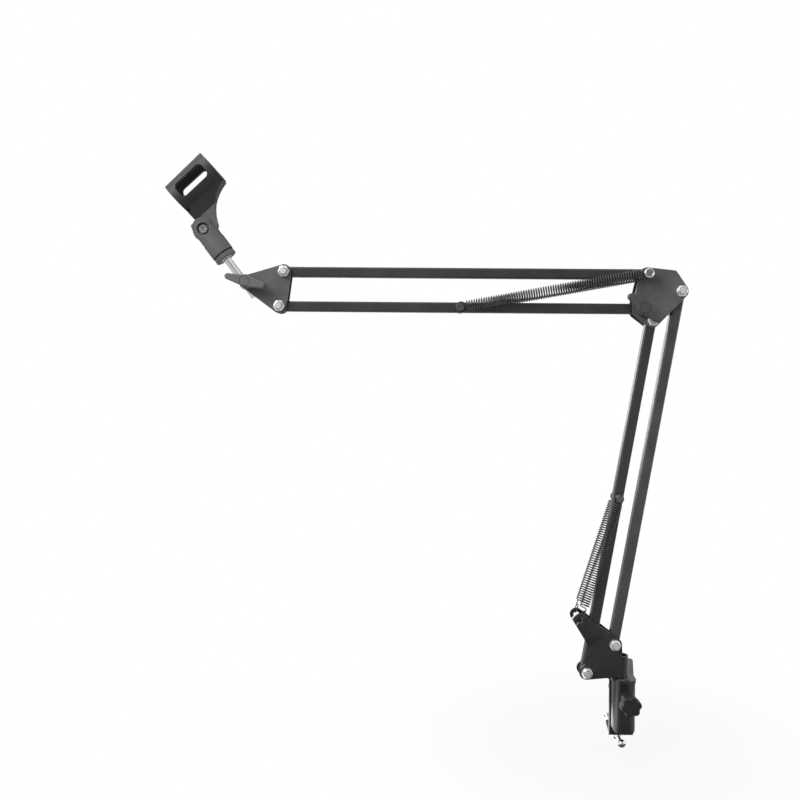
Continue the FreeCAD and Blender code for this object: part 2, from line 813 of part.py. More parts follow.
def spring_bolt_head(place):
    return chamfered_hexagon("Dim.spring_bolt_head_dia", "Dim.spring_bolt_head_height",
                             "Dim.spring_bolt_head_dia - 2 * Dim.side_gap", place)


for kind, peg in (("upper", UPPER_PEG), ("lower", LOWER_PEG)):
    cross_pin(kind + "_spring_peg", "peg_dia", spring_depth(kind) + size("side_gap"), peg_head, spot(*peg))
cross_pin("elbow_spring_bolt", "pivot_dia", spring_depth("upper") + size("upper_spring_dia") / 4,
          spring_bolt_head, spot(*ELBOW_TOP))


# Wing knobs with their threaded inserts, and the bolts that they draw tight.
def wing_knob(name, pivot, turn):
    body = doc.addObject("PartDesign::Body", "WingKnob")
    foot = sketch_in(body, "XY_Plane")
    drill(foot, (), (), "Dim.wing_hub_dia")
    pad(body, foot, "Dim.wing_height * 0.7")
    wings = sketch_in(body, "XY_Plane")
    right_tip = (("wing_reach",), ("-wing_tip_offset",), "wing_tip_radius")
    left_tip = (("-wing_reach",), ("wing_tip_offset",), "wing_tip_radius")
    hub = ((), (), "wing_waist_radius")
    outline(wings, [right_tip, hub, left_tip, hub])
    wings.setExpression("AttachmentOffset.Base.z", "Dim.wing_foot_height")
    blade = pad(body, wings, "Dim.wing_height - Dim.wing_foot_height")
    soften(body, blade, "Dim.wing_edge", flat_at(size("wing_height")))
    place = spot(*pivot, depth=PLATE_OUTSIDE + size("side_gap"), turn=turn)
    seat = cylinder("Dim.insert_dia / 2", "Dim.insert_depth")
    groove_place = at(z=size("wing_height", "-wing_cap_groove"))
    groove = cut(cylinder("Dim.wing_cap_dia / 2 + Dim.wing_cap_groove", "Dim.wing_cap_groove", groove_place),
                 cylinder("Dim.wing_cap_dia / 2", "Dim.wing_cap_groove", groove_place))
    keep(f"{name}_wing_knob", cut(body, seat, groove), place)
    ring = cylinder("Dim.insert_dia / 2", "Dim.insert_depth")
    thread = cylinder(f"({HOLE}) / 2", "Dim.insert_depth")
    keep(f"{name}_wing_insert", cut(ring, thread), place)


wing_knob("elbow", ELBOW_CLAMP, size("elbow_wing_angle"))
wing_knob("head", HEAD_ROD, size("head_wing_angle"))

GRIPPED = f"{STACK} + Dim.clamp_bolt_grip"
clamp_shank = cylinder("Dim.pivot_dia / 2", GRIPPED, at(z=-PLATE_OUTSIDE))
clamp_head = cylinder("Dim.wing_hub_dia / 2", "Dim.bolt_head_height",
                      at(z=-PLATE_OUTSIDE - size("bolt_head_height")))
keep("elbow_clamp_bolt", fuse(clamp_shank, clamp_head), spot(*ELBOW_CLAMP))


# Rod and the eye bolt that grips it between the head plates.
ROD_TURN = 180 - size("rod_tilt")
EYE_HALF = PLATE_INSIDE - size("side_gap")
ROD_FROM = -size("rod_tail")
CLIP_FOOT = size("clip_reach", "-clip_base_length")
X_AXIS = Vector(1, 0, 0)
eye_width = "Dim.tube_width + 2 * Dim.washer_thickness - 2 * Dim.side_gap"
eye = prism([((), (), "eye_radius"), ((), ("rod_offset",), "eye_radius")], -EYE_HALF, eye_width)
stud = cylinder("Dim.pivot_dia / 2", GRIPPED, at(z=-PLATE_OUTSIDE))
rod_hole = cylinder("Dim.rod_dia / 2 + Dim.running_gap", "4 * Dim.eye_radius",
                    at(x=-2 * size("eye_radius"), y=size("rod_offset"), axis=X_AXIS))
keep("rod_eye_bolt", cut(fuse(eye, stud), rod_hole), spot(*HEAD_ROD, turn=ROD_TURN))
ROD_PLACE = moved(spot(*HEAD_ROD, turn=ROD_TURN), y=size("rod_offset"))

rod_shaft = cylinder("Dim.rod_dia / 2", "Dim.rod_tail + Dim.clip_reach - Dim.clip_base_length",
                     at(x=ROD_FROM, axis=X_AXIS))
rod_thread = cylinder("Dim.rod_thread_dia / 2", "Dim.rod_thread_length",
                      at(x=CLIP_FOOT - size("side_gap"), axis=X_AXIS))
keep("mic_rod", fuse(rod_shaft, rod_thread), ROD_PLACE)


# Clip: a forked base on the rod's thread and a sleeve whose tongue turns in the fork.
CLIP_PLACE = moved(ROD_PLACE, x=size("clip_reach"))
FOOT = -size("clip_base_length")
core_length = "Dim.rod_thread_length + Dim.side_gap"
core = cylinder("Dim.clip_insert_dia / 2", core_length, at(x=FOOT, axis=X_AXIS))
thread_hole = cylinder("Dim.rod_thread_dia / 2 + Dim.running_gap", core_length, at(x=FOOT, axis=X_AXIS))
keep("clip_thread_insert", cut(core, thread_hole), CLIP_PLACE)

flange = cylinder("Dim.clip_flange_dia / 2", "Dim.clip_flange_height", at(x=FOOT, axis=X_AXIS))
neck = cylinder("Dim.clip_groove_dia / 2", "Dim.clip_flange_height + Dim.clip_groove_height",
                at(x=FOOT, axis=X_AXIS))
BARREL_FROM = FOOT + size("clip_flange_height", "clip_groove_height")
barrel_length = "Dim.clip_base_length - Dim.clip_flange_height - Dim.clip_groove_height"
barrel = cylinder("Dim.clip_base_dia / 2", f"{barrel_length} + Dim.clip_base_dia / 2",
                  at(x=BARREL_FROM, axis=X_AXIS))
base_radius = size("clip_base_dia") / 2
side_view = fuse(cylinder("Dim.clip_base_dia / 2", "2 * Dim.clip_base_dia", at(z=-2 * base_radius)),
                 box("Dim.clip_base_length", "Dim.clip_base_dia", "2 * Dim.clip_base_dia",
                     at(x=FOOT, y=-base_radius, z=-2 * base_radius)))
slot = box("Dim.clip_slot_depth + Dim.clip_base_dia", "2 * Dim.clip_base_dia",
           "Dim.tongue_width + 2 * Dim.side_gap",
           at(x=-size("clip_slot_depth"), y=-2 * base_radius, z=-size("tongue_width") / 2 - size("side_gap")))
insert_seat = cylinder("Dim.clip_insert_dia / 2", core_length, at(x=FOOT, axis=X_AXIS))
screw_hole = cylinder("Dim.clip_screw_dia / 2 + Dim.running_gap", "2 * Dim.clip_base_dia",
                      at(z=-2 * base_radius))
recess = cylinder("Dim.clip_recess_dia / 2", "Dim.clip_base_dia", at(z=size("clip_screw_seat")))
nut_recess = hexagon("Dim.clip_nut_flats + 2 * Dim.running_gap", "Dim.clip_base_dia",
                     at(z=-size("clip_screw_seat", "clip_base_dia")))
hollows = (slot, insert_seat, screw_hole, recess, nut_recess)
keep("clip_base", cut(fuse(flange, neck, common(barrel, side_view)), *hollows), CLIP_PLACE)

SEAT = size("clip_screw_seat")
screw_shank = cylinder("Dim.clip_screw_dia / 2", "2 * Dim.clip_screw_seat + Dim.clip_nut_height",
                       at(z=-SEAT - size("clip_nut_height")))
screw_head = cylinder("Dim.clip_screw_head_dia / 2", "Dim.clip_screw_head_height", at(z=SEAT))
CROSS_LOW = SEAT + size("clip_screw_head_height", "-cross_depth")
crosses = [box("Dim.cross_length", "Dim.cross_width", "Dim.clip_screw_head_height",
               at(x=-size("cross_length") / 2, y=-size("cross_width") / 2, z=CROSS_LOW)),
           box("Dim.cross_width", "Dim.cross_length", "Dim.clip_screw_head_height",
               at(x=-size("cross_width") / 2, y=-size("cross_length") / 2, z=CROSS_LOW))]
keep("clip_screw", cut(fuse(screw_shank, screw_head), *crosses), CLIP_PLACE)
nut_body = hexagon("Dim.clip_nut_flats", "Dim.clip_nut_height", at(z=-SEAT - size("clip_nut_height")))
nut_hole = cylinder("Dim.clip_screw_dia / 2 + Dim.running_gap", "Dim.clip_nut_height",
                    at(z=-SEAT - size("clip_nut_height")))
keep("clip_nut", cut(nut_body, nut_hole), CLIP_PLACE)


def clip_sleeve():
    above = size("sleeve_above")
    tail = size("sleeve_along") - size("sleeve_length") / 2
    middle = at(x=tail, y=above, axis=X_AXIS)
    shell = cone("Dim.sleeve_tail_dia / 2", "Dim.sleeve_head_dia / 2", "Dim.sleeve_length", middle)
    bore = cylinder("Dim.sleeve_tail_dia / 2 - Dim.sleeve_wall", "Dim.sleeve_length", middle)
    # The web narrows from the sleeve to the tongue: its end view and its side view cross.
    spread = "(Dim.sleeve_tail_dia - Dim.sleeve_wall) / 2"
    web_end = doc.addObject("Part::Wedge", "WebEnd")
    web_end.Xmin = web_end.X2min = 0
    bind(web_end, Xmax="Dim.sleeve_length", X2max="Dim.sleeve_length",
         Ymin="Dim.sleeve_above - Dim.web_drop", Ymax="Dim.sleeve_above",
         Zmin="-Dim.tongue_width / 2", Zmax="Dim.tongue_width / 2", Z2min=f"-{spread}", Z2max=spread)
    web_end.Placement = at(x=tail)
    tongue_end = box("2 * Dim.sleeve_length", "Dim.knuckle_radius + Dim.sleeve_above - Dim.web_drop",
                     "Dim.tongue_width",
                     at(x=-size("sleeve_length"), y=-size("knuckle_radius"), z=-size("tongue_width") / 2))
    tail_lobe = (("web_tail_along",), ("web_above",), "web_corner_radius")
    head_lobe = (("web_head_along",), ("web_above",), "web_corner_radius")
    high_tail = (("web_tail_along",), ("sleeve_above",), "web_corner_radius")
    high_head = (("web_head_along",), ("sleeve_above",), "web_corner_radius")
    knuckle = ((), (), "knuckle_radius")
    width = 2 * size("sleeve_head_dia")
    side = prism([knuckle, head_lobe, high_head, high_tail, tail_lobe], -width / 2,
                 "2 * Dim.sleeve_head_dia")
    hollow = cylinder("Dim.web_hollow_radius", "2 * Dim.sleeve_head_dia",
                      at(x=size("web_hollow_along"), y=-size("web_hollow_below"), z=-width / 2))
    window = doc.addObject("PartDesign::Body", "Window")
    pane = sketch_in(window, "XY_Plane")
    rounded_rectangle(pane, "Dim.window_length", "Dim.window_width", "Dim.window_corner")
    pad(window, pane, "2 * Dim.sleeve_head_dia", both_ways=True)
    window.Placement = at(x=size("sleeve_along"), y=above + size("window_rise"))
    hole = cylinder("Dim.clip_screw_dia / 2 + Dim.running_gap", "2 * Dim.tongue_width",
                    at(z=-size("tongue_width")))
    web = cut(common(fuse(web_end, tongue_end), side), hollow)
    solid = cut(fuse(shell, web), bore, window, hole)
    keep("clip_sleeve", solid, spot(CLIP_PLACE.Base.x, CLIP_PLACE.Base.z, turn=size("clip_tilt")))


clip_sleeve()


# Base bracket: two plates welded to a collar on the post, with ears set out for the springs.
def base_bracket():
    post_x = size("post_x", "-base_pivot_x")
    foot = -size("lobe_radius")
    collar_place = at(x=post_x, y=foot, axis=Vector(0, 1, 0))
    collar = cut(cylinder("Dim.collar_dia / 2", "Dim.collar_height", collar_place),
                 cylinder("Dim.post_dia / 2", "Dim.collar_height", collar_place))
    left = ((), (), "lobe_radius")
    right = (("lower_spread_x",), ("lower_spread_z",), "lobe_radius")
    waist = (("bracket_waist_x",), ("bracket_waist_z",), "lobe_radius")
    corner = (("bracket_right_x", "-crease_radius"), ("bracket_right_low", "crease_radius"), "crease_radius")
    rise = (("bracket_right_x", "-crease_radius"), ("bracket_right_high",), "crease_radius")
    crease_left = (("crease_left_x",), ("crease_left_z",), "crease_radius")
    crease_right = (("crease_right_x",), ("crease_right_z",), "crease_radius")
    ear = (("ear_x",), ("ear_z",), "ear_radius")
    crease = Vector(size("crease_right_x", "-crease_left_x"), size("crease_right_z", "-crease_left_z"))
    crease_turn = math.degrees(math.atan2(crease.y, crease.x))
    ear_middle = spring_depth("lower")
    thick = size("plate_thickness")
    step = ear_middle - thick / 2 - PLATE_INSIDE
    slope = math.radians(size("joggle_angle"))
    lap = thick * math.tan(slope / 2)
    run = step / math.tan(slope)
    far = 2 * size("ear_radius") + crease.Length
    # The section of the joggled ear: across the crease, and outwards.
    section = [(0, PLATE_INSIDE), (lap, PLATE_INSIDE),
               (lap + run, PLATE_INSIDE + step), (far, PLATE_INSIDE + step),
               (far, PLATE_OUTSIDE + step), (run, PLATE_OUTSIDE + step), (0, PLATE_OUTSIDE)]
    parts = [collar]
    for outward in (1, -1):
        low = PLATE_INSIDE if outward > 0 else -PLATE_OUTSIDE
        parts.append(prism([left, corner, rise, right], low, "Dim.plate_thickness"))
        parts.append(prism([waist, right, crease_right, crease_left], low, "Dim.plate_thickness"))
        corners = [Vector(-crease.Length, across, out * outward) for across, out in section]
        face = Part.Face(Part.makePolygon(corners + corners[:1]))
        joggle = doc.addObject("Part::Feature", "Joggle")
        joggle.Shape = face.extrude(Vector(3 * crease.Length, 0, 0))
        joggle.Placement = Placement(Vector(size("crease_left_x"), size("crease_left_z"), 0),
                                     Rotation(Z_AXIS, crease_turn))
        ear_view = prism([crease_left, crease_right, ear], low - 4 * thick, "9 * Dim.plate_thickness")
        parts.append(common(joggle, ear_view))
    depth = 4 * PLATE_OUTSIDE
    holes = []
    for names, diameter in ((left, HOLE), (right, HOLE), (ear, "Dim.ear_hole_dia")):
        holes.append(cylinder(f"({diameter}) / 2", "8 * Dim.tube_width",
                              at(x=size(*names[0]), y=size(*names[1]), z=-depth)))
    ear_place = Placement(Vector(size("ear_x"), size("ear_z"), -depth),
                          Rotation(Z_AXIS, size("ear_slot_angle")))
    holes.append(box("2 * Dim.ear_radius", "Dim.ear_slot", "8 * Dim.tube_width",
                     moved(ear_place, y=-size("ear_slot") / 2)))
    keep("base_bracket", cut(fuse(*parts), *holes), spot(*BASE_LEFT))


base_bracket()


# Swivel post, its washer and the clamp that holds it.
POST_RADIUS = "Dim.post_dia / 2"
POST_X = size("post_x")
POST_Y = -size("post_front")
SOCKET_TOP = size("socket_top")
SPINE_Y = POST_Y + size("socket_depth") / 2
SOCKET_Y = POST_Y - size("socket_depth") / 2
post_height = "Dim.post_depth + Dim.washer_thickness + Dim.collar_height - Dim.collar_hollow"
keep("swivel_post", cylinder(POST_RADIUS, post_height),
     at(x=POST_X, y=POST_Y, z=SOCKET_TOP - size("post_depth")))
washer_disc = cylinder("Dim.thrust_washer_dia / 2", "Dim.washer_thickness")
washer_hole = cylinder(f"{POST_RADIUS} + Dim.running_gap", "Dim.washer_thickness")
keep("thrust_washer", cut(washer_disc, washer_hole), at(x=POST_X, y=POST_Y, z=SOCKET_TOP))


def rounded(base, *choices):
    """Round edges of a solid; each choice is a test and the name of a radius."""
    doc.recompute()
    result = doc.addObject("Part::Fillet", "Rounded")
    result.Base = base
    edges = []
    for chosen, name in choices:
        for number, edge in enumerate(base.Shape.Edges, start=1):
            if chosen(edge):
                edges.append((number, size(name), size(name)))
    result.Edges = edges
    return result


def upright(edge):
    return abs(edge.tangentAt(edge.FirstParameter).z) > 0.999


def jaw(side, low):
    """A flat jaw whose width changes from the spine to its end."""
    solid = doc.addObject("Part::Wedge", "Jaw")
    solid.Ymin = SPINE_Y
    solid.Zmin = solid.Z2min = 0
    bind(solid, Ymax=f"Dim.{side}_jaw_reach", Zmax="Dim.strip_thickness", Z2max="Dim.strip_thickness",
         Xmin="-Dim.strip_width / 2", Xmax="Dim.strip_width / 2",
         X2min=f"-Dim.{side}_jaw_width / 2", X2max=f"Dim.{side}_jaw_width / 2")
    solid.Placement = at(z=low)
    return solid


def clamp_frame():
    half = size("strip_width") / 2
    floor = -size("jaw_opening", "strip_thickness")
    spine = box("Dim.strip_width", "Dim.strip_thickness", "Dim.jaw_opening + 2 * Dim.strip_thickness",
                at(x=-half, y=SPINE_Y, z=floor))
    strip = fuse(jaw("upper", 0), spine, jaw("lower", floor))

    def jaw_end(edge):
        return upright(edge) and edge.CenterOfMass.y > 0

    def outer_bend(edge):
        middle = edge.CenterOfMass
        at_end = min(abs(middle.z - size("strip_thickness")), abs(middle.z - floor)) < 1e-4
        return at_end and abs(middle.y - SPINE_Y) < 1e-4 and abs(middle.x) < 1e-4

    shaped = rounded(strip, (jaw_end, "jaw_corner"), (outer_bend, "strip_bend"))
    hole = cylinder("Dim.screw_dia / 2 + Dim.running_gap", "2 * Dim.strip_thickness", at(z=floor - 1))
    keep("clamp_frame", cut(shaped, hole))
    nut_place = Placement(Vector(0, 0, floor + size("strip_thickness")), Rotation(Z_AXIS, 30))
    nut = hexagon("Dim.screw_nut_flats", "Dim.screw_nut_height", nut_place)
    thread = cylinder("Dim.screw_dia / 2 + Dim.running_gap", "Dim.screw_nut_height", nut_place)
    keep("clamp_screw_nut", cut(nut, thread))


def post_socket():
    half = size("socket_width") / 2
    foot = SOCKET_TOP - size("socket_height")
    block = box("Dim.socket_width", "Dim.socket_depth", "Dim.socket_height", at(x=-half, y=SOCKET_Y, z=foot))

    def front_edge(edge):
        return upright(edge) and edge.CenterOfMass.y < POST_Y

    def foot_side(edge):
        middle = edge.CenterOfMass
        return abs(middle.z - foot) < 1e-4 and abs(abs(middle.x) - half) < 1e-4

    shaped = rounded(block, (front_edge, "socket_corner"), (foot_side, "socket_foot_corner"))
    rim = box("Dim.socket_width + 2 * Dim.socket_rim", "Dim.socket_depth + Dim.socket_rim",
              "Dim.socket_rim_height",
              at(x=-half - size("socket_rim"), y=SOCKET_Y - size("socket_rim"),
                 z=SOCKET_TOP - size("socket_rim_height")))
    rim = rounded(rim, (front_edge, "socket_rim_corner"))
    bore = cylinder(f"{POST_RADIUS} + Dim.running_gap", "2 * Dim.socket_height",
                    at(x=POST_X, y=POST_Y, z=foot - 1))
    screw = cylinder("Dim.pivot_dia / 2 + Dim.running_gap", "Dim.socket_depth / 2",
                     at(y=POST_Y, z=LOCK_Z, axis=TO_VIEWER))
    keep("post_socket", cut(fuse(shaped, rim), bore, screw))


TO_VIEWER = Vector(0, -1, 0)
LOCK_Z = SOCKET_TOP - size("lock_screw_drop")
clamp_frame()
post_socket()


# Star knob with its screw and the threaded boss on the socket.
def lock_knob():
    boss = cylinder("Dim.lock_boss_dia / 2", "Dim.lock_boss_height")
    thread = cylinder("Dim.pivot_dia / 2 + Dim.running_gap", "Dim.lock_boss_height")
    keep("lock_boss", cut(boss, thread), at(y=SOCKET_Y, z=LOCK_Z, axis=TO_VIEWER))
    body = doc.addObject("PartDesign::Body", "StarKnob")
    stem = sketch_in(body, "XY_Plane")
    drill(stem, (), (), "Dim.knob_stem_dia")
    pad(body, stem, "Dim.knob_stem_height + Dim.knob_height / 2")
    disc = sketch_in(body, "XY_Plane")
    drill(disc, (), (), "Dim.knob_dia - Dim.knob_lobe_dia * 0.45")
    disc.setExpression("AttachmentOffset.Base.z", "Dim.knob_stem_height")
    pad(body, disc, "Dim.knob_height")
    lobe = sketch_in(body, "XY_Plane")
    element = lobe.addGeometry(Part.Circle(Vector(8, 0, 0), Z_AXIS, 3.0))
    lobe.addConstraint(Sketcher.Constraint("PointOnObject", element, 3, -1))
    index = lobe.addConstraint(Sketcher.Constraint("DistanceX", -1, 1, element, 3, 8.0))
    lobe.setExpression(f"Constraints[{index}]", "(Dim.knob_dia - Dim.knob_lobe_dia) / 2")
    index = lobe.addConstraint(Sketcher.Constraint("Diameter", element, 6.0))
    lobe.setExpression(f"Constraints[{index}]", "Dim.knob_lobe_dia")
    lobe.setExpression("AttachmentOffset.Base.z", "Dim.knob_stem_height")
    bump = pad(body, lobe, "Dim.knob_height")
    ring = body.newObject("PartDesign::PolarPattern", "Lobes")
    ring.Originals = [bump]
    ring.Axis = (plane_of(body, "Z_Axis"), [""])
    ring.Angle = 360
    bind(ring, Occurrences="Dim.knob_lobes")
    body.Tip = ring
    soften(body, ring, "Dim.knob_edge", flat_at(size("knob_stem_height", "knob_height")))
    place = at(y=SOCKET_Y - size("lock_boss_height", "knob_gap"), z=LOCK_Z, axis=TO_VIEWER)
    place.Rotation = place.Rotation.multiply(Rotation(Z_AXIS, size("knob_turn")))
    seat = cylinder("Dim.pivot_dia / 2", "Dim.knob_stem_height")
    keep("lock_knob", cut(body, seat), place)
    tip = (size("socket_depth") - size("post_dia")) / 2 - size("side_gap")
    shank_length = f"{tip} + Dim.lock_boss_height + Dim.knob_gap + Dim.knob_stem_height"
    shank = cylinder("Dim.pivot_dia / 2", shank_length, at(y=SOCKET_Y + tip, z=LOCK_Z, axis=TO_VIEWER))
    keep("lock_screw", shank)


lock_knob()


# Clamp screw with its swivel pad and sliding cross bar.
def clamp_screw():
    floor = -size("jaw_opening", "strip_thickness")
    top = floor + size("screw_rise")
    bar_z = floor - size("bar_drop")
    head_low = bar_z - size("screw_head_length") / 2
    shank_top = top - size("pad_neck_length")
    shank = cylinder("Dim.screw_dia / 2", f"{shank_top - head_low}", at(z=head_low))
    head = cylinder("Dim.screw_head_dia / 2", "Dim.screw_head_length", at(z=head_low))
    neck = cylinder("Dim.pad_neck_dia / 2", "Dim.pad_neck_length", at(z=shank_top))
    ball_end = ball("Dim.pad_ball_dia / 2", at(z=top))
    bar_hole = cylinder("Dim.bar_dia / 2 + Dim.running_gap", "4 * Dim.screw_head_dia",
                        at(y=2 * size("screw_head_dia"), z=bar_z, axis=TO_VIEWER))
    keep("clamp_screw", cut(fuse(shank, head, neck, ball_end), bar_hole))
    middle = size("bar_offset")
    half_bar = size("bar_length") / 2
    bar_place = at(y=middle + half_bar, z=bar_z, axis=TO_VIEWER)
    keep("cross_bar", cylinder("Dim.bar_dia / 2", "Dim.bar_length", bar_place))
    ends = []
    for side in (1, -1):
        knob = ball("Dim.bar_ball_dia / 2", at(y=middle + side * half_bar, z=bar_z))
        ends.append(cut(knob, cylinder("Dim.bar_dia / 2", "Dim.bar_length", bar_place)))
    keep("cross_bar_ends", group(*ends))
    cup_low = top - size("pad_cup_drop")
    cup = cylinder("Dim.pad_cup_dia / 2", "Dim.pad_cup_drop + Dim.pad_ball_dia / 2 + Dim.pad_thickness",
                   at(z=cup_low))
    disc = cylinder("Dim.pad_dia / 2", "Dim.pad_thickness", at(z=top + size("pad_ball_dia") / 2))
    hollow = ball("Dim.pad_ball_dia / 2 + Dim.running_gap", at(z=top))
    throat = cylinder("Dim.pad_ball_dia / 2 + Dim.running_gap", "Dim.pad_cup_drop", at(z=cup_low))
    keep("pressure_pad", cut(fuse(cup, disc), hollow, throat))


clamp_screw()

doc.recompute()
failed = [item.Label for item in doc.Objects if "Invalid" in item.State or "Error" in item.State]
failed += [item.Label for item in PIECES if item.Shape.isNull() or not item.Shape.isValid()]
failed += [item.Label for item in doc.findObjects("Sketcher::SketchObject") if not item.FullyConstrained]
if failed:
    raise RuntimeError("not built: " + ", ".join(sorted(set(failed))))
os.makedirs("parts", exist_ok=True)
for item in PIECES:
    item.Shape.exportStep(f"parts/{item.Label}.step")
print(len(PIECES), "pieces written")
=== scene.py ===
"""Looks of a spring-balanced microphone boom arm, built round its CAD frame. Lengths are in metres."""
import json
import math

import bpy
from mathutils import Matrix, Vector


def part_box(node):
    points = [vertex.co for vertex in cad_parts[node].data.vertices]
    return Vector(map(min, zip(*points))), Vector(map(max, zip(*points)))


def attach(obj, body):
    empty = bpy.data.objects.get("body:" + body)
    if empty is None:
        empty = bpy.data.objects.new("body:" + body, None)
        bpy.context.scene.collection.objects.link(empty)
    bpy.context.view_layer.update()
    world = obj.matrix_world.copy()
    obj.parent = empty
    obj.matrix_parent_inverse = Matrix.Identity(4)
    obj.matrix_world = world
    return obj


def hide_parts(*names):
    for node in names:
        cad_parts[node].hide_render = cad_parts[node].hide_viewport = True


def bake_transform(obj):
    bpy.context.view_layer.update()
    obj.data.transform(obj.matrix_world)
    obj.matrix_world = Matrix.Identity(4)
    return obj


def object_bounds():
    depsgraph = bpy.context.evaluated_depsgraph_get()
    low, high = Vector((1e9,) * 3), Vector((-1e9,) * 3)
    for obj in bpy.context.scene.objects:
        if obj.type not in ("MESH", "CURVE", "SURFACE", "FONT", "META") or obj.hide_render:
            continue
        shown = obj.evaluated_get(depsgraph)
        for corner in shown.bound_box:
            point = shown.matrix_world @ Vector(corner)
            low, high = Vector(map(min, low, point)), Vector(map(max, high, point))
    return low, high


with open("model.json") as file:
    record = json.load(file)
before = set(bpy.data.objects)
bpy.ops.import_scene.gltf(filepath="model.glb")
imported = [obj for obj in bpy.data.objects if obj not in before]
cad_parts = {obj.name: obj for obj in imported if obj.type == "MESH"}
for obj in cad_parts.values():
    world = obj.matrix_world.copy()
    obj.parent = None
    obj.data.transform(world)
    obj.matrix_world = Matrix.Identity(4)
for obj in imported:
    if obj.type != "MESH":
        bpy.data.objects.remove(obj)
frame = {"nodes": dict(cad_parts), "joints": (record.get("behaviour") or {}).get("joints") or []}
cad_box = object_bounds()
MM = 0.001

# Camera: the photograph's frame is 800 pixels wide.
CAMERA_PLACE = (-0.2072, -0.8836, 0.3174)
CAMERA_YAW = 0.971
CAMERA_PITCH = 2.478
FOCAL_PIXELS = 869
PHOTO_PIXELS = 800
SENSOR = 36.0
NEAR_CLIP = 10 * MM

PIVOTS = {joint["name"]: Vector(joint["pos_m"]) for joint in frame["joints"] if "pos_m" in joint}


def middle(node):
    """The middle of a CAD node's box."""
    low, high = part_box(node)
    return (low + high) / 2


# Materials. Most of a noise lies between these two values.
NOISE_LOW = 0.3
NOISE_HIGH = 0.7
BLUE_CAST = 1.02
BEVEL_SAMPLES = 6


def grey(level):
    """A grey that is very slightly blue."""
    return (level, level, level * BLUE_CAST)


class Surface:
    """A material's node tree with a few short ways to add to it."""

    def __init__(self, name, colour, roughness, metallic=0.0, specular=0.5):
        self.material = bpy.data.materials.new(name)
        self.material.use_nodes = True
        self.nodes = self.material.node_tree.nodes
        self.links = self.material.node_tree.links
        self.shader = self.nodes["Principled BSDF"]
        self.shader.inputs["Base Color"].default_value = (*colour, 1)
        self.shader.inputs["Roughness"].default_value = roughness
        self.shader.inputs["Metallic"].default_value = metallic
        self.shader.inputs["Specular IOR Level"].default_value = specular
        coordinates = self.add("ShaderNodeTexCoord")
        self.place = coordinates.outputs["Object"]
        self.normal = coordinates.outputs["Normal"]

    def add(self, kind, **settings):
        node = self.nodes.new(kind)
        for key, value in settings.items():
            if key in node.inputs:
                node.inputs[key].default_value = value
            else:
                setattr(node, key, value)
        return node

    def noise(self, scale, detail=2.0):
        node = self.add("ShaderNodeTexNoise", Scale=scale, Detail=detail)
        self.links.new(self.place, node.inputs["Vector"])
        return node.outputs["Fac"]

    def spread(self, value, low, high, start=NOISE_LOW, end=NOISE_HIGH):
        """Map value from start and end to low and high."""
        node = self.add("ShaderNodeMapRange")
        self.links.new(value, node.inputs["Value"])
        node.inputs["From Min"].default_value = start
        node.inputs["From Max"].default_value = end
        node.inputs["To Min"].default_value = low
        node.inputs["To Max"].default_value = high
        return node.outputs["Result"]

    def tint(self, value, dark, light):
        """Let the colour go from dark to light with a noise."""
        ramp = self.add("ShaderNodeValToRGB")
        ramp.color_ramp.elements[0].position = NOISE_LOW
        ramp.color_ramp.elements[1].position = NOISE_HIGH
        ramp.color_ramp.elements[0].color = (*dark, 1)
        ramp.color_ramp.elements[1].color = (*light, 1)
        self.links.new(value, ramp.inputs["Fac"])
        self.links.new(ramp.outputs["Color"], self.shader.inputs["Base Color"])

    def cover(self, share, level):
        """Lay a grey over the colour where share is 1."""
        mix = self.add("ShaderNodeMix", data_type="RGBA")
        self.links.new(share, mix.inputs["Factor"])
        colour = self.shader.inputs["Base Color"]
        self.links.new(colour.links[0].from_socket, mix.inputs["A"])
        mix.inputs["B"].default_value = (*grey(level), 1)
        self.links.new(mix.outputs["Result"], colour)

    def rough(self, value, low, high):
        """Let the roughness go from low to high with a noise."""
        self.links.new(self.spread(value, low, high), self.shader.inputs["Roughness"])

    def relief(self, height, depth, edge=0.0):
        """Fine bumps of one depth; edge softens sharp corners over that radius."""
        bump = self.add("ShaderNodeBump", Strength=1.0, Distance=depth)
        self.links.new(height, bump.inputs["Height"])
        if edge:
            bevel = self.add("ShaderNodeBevel", Radius=edge, samples=BEVEL_SAMPLES)
            self.links.new(bevel.outputs["Normal"], bump.inputs["Normal"])
        self.links.new(bump.outputs["Normal"], self.shader.inputs["Normal"])


# How squarely a plate's flat faces, and its rim, face along Y; the rim is darkened as painted shade.
FACE_TURN = 0.9
RIM_TURN = 0.6


def painted_shade_on_rim(surface, level):
    """Paint shade on the cut rim of a flat plate, darker than its faces, which lie in the arm's plane."""
    facing = surface.add("ShaderNodeSeparateXYZ")
    surface.links.new(surface.normal, facing.inputs["Vector"])
    flat = surface.add("ShaderNodeMath", operation="ABSOLUTE")
    surface.links.new(facing.outputs["Y"], flat.inputs[0])
    surface.cover(surface.spread(flat.outputs["Value"], 0.0, 1.0, FACE_TURN, RIM_TURN), level)


def black_paint(name, level, rough=0.32, edge=0.4 * MM, rim=None):
    """Satin stoved paint with a faint orange peel."""
    surface = Surface(name, grey(level), rough)
    cloud = surface.noise(45, detail=4.0)
    surface.tint(cloud, grey(level * 0.8), grey(level * 1.25))
    # rim is the level of painted shade on a plate's cut rim.
    if rim:
        painted_shade_on_rim(surface, rim)
    surface.rough(surface.noise(120, detail=3.0), rough - 0.05, rough + 0.05)
    surface.relief(surface.noise(1500), 0.02 * MM, edge)
    return surface.material


def zinc():
    """Bright plated nuts and bolts."""
    surface = Surface("bright_zinc", (0.84, 0.84, 0.85), 0.32, metallic=0.75)
    surface.tint(surface.noise(260, detail=3.0), (0.78, 0.78, 0.79), (0.90, 0.90, 0.91))
    surface.rough(surface.noise(700), 0.26, 0.38)
    surface.relief(surface.noise(2500), 0.006 * MM, 0.3 * MM)
    return surface.material


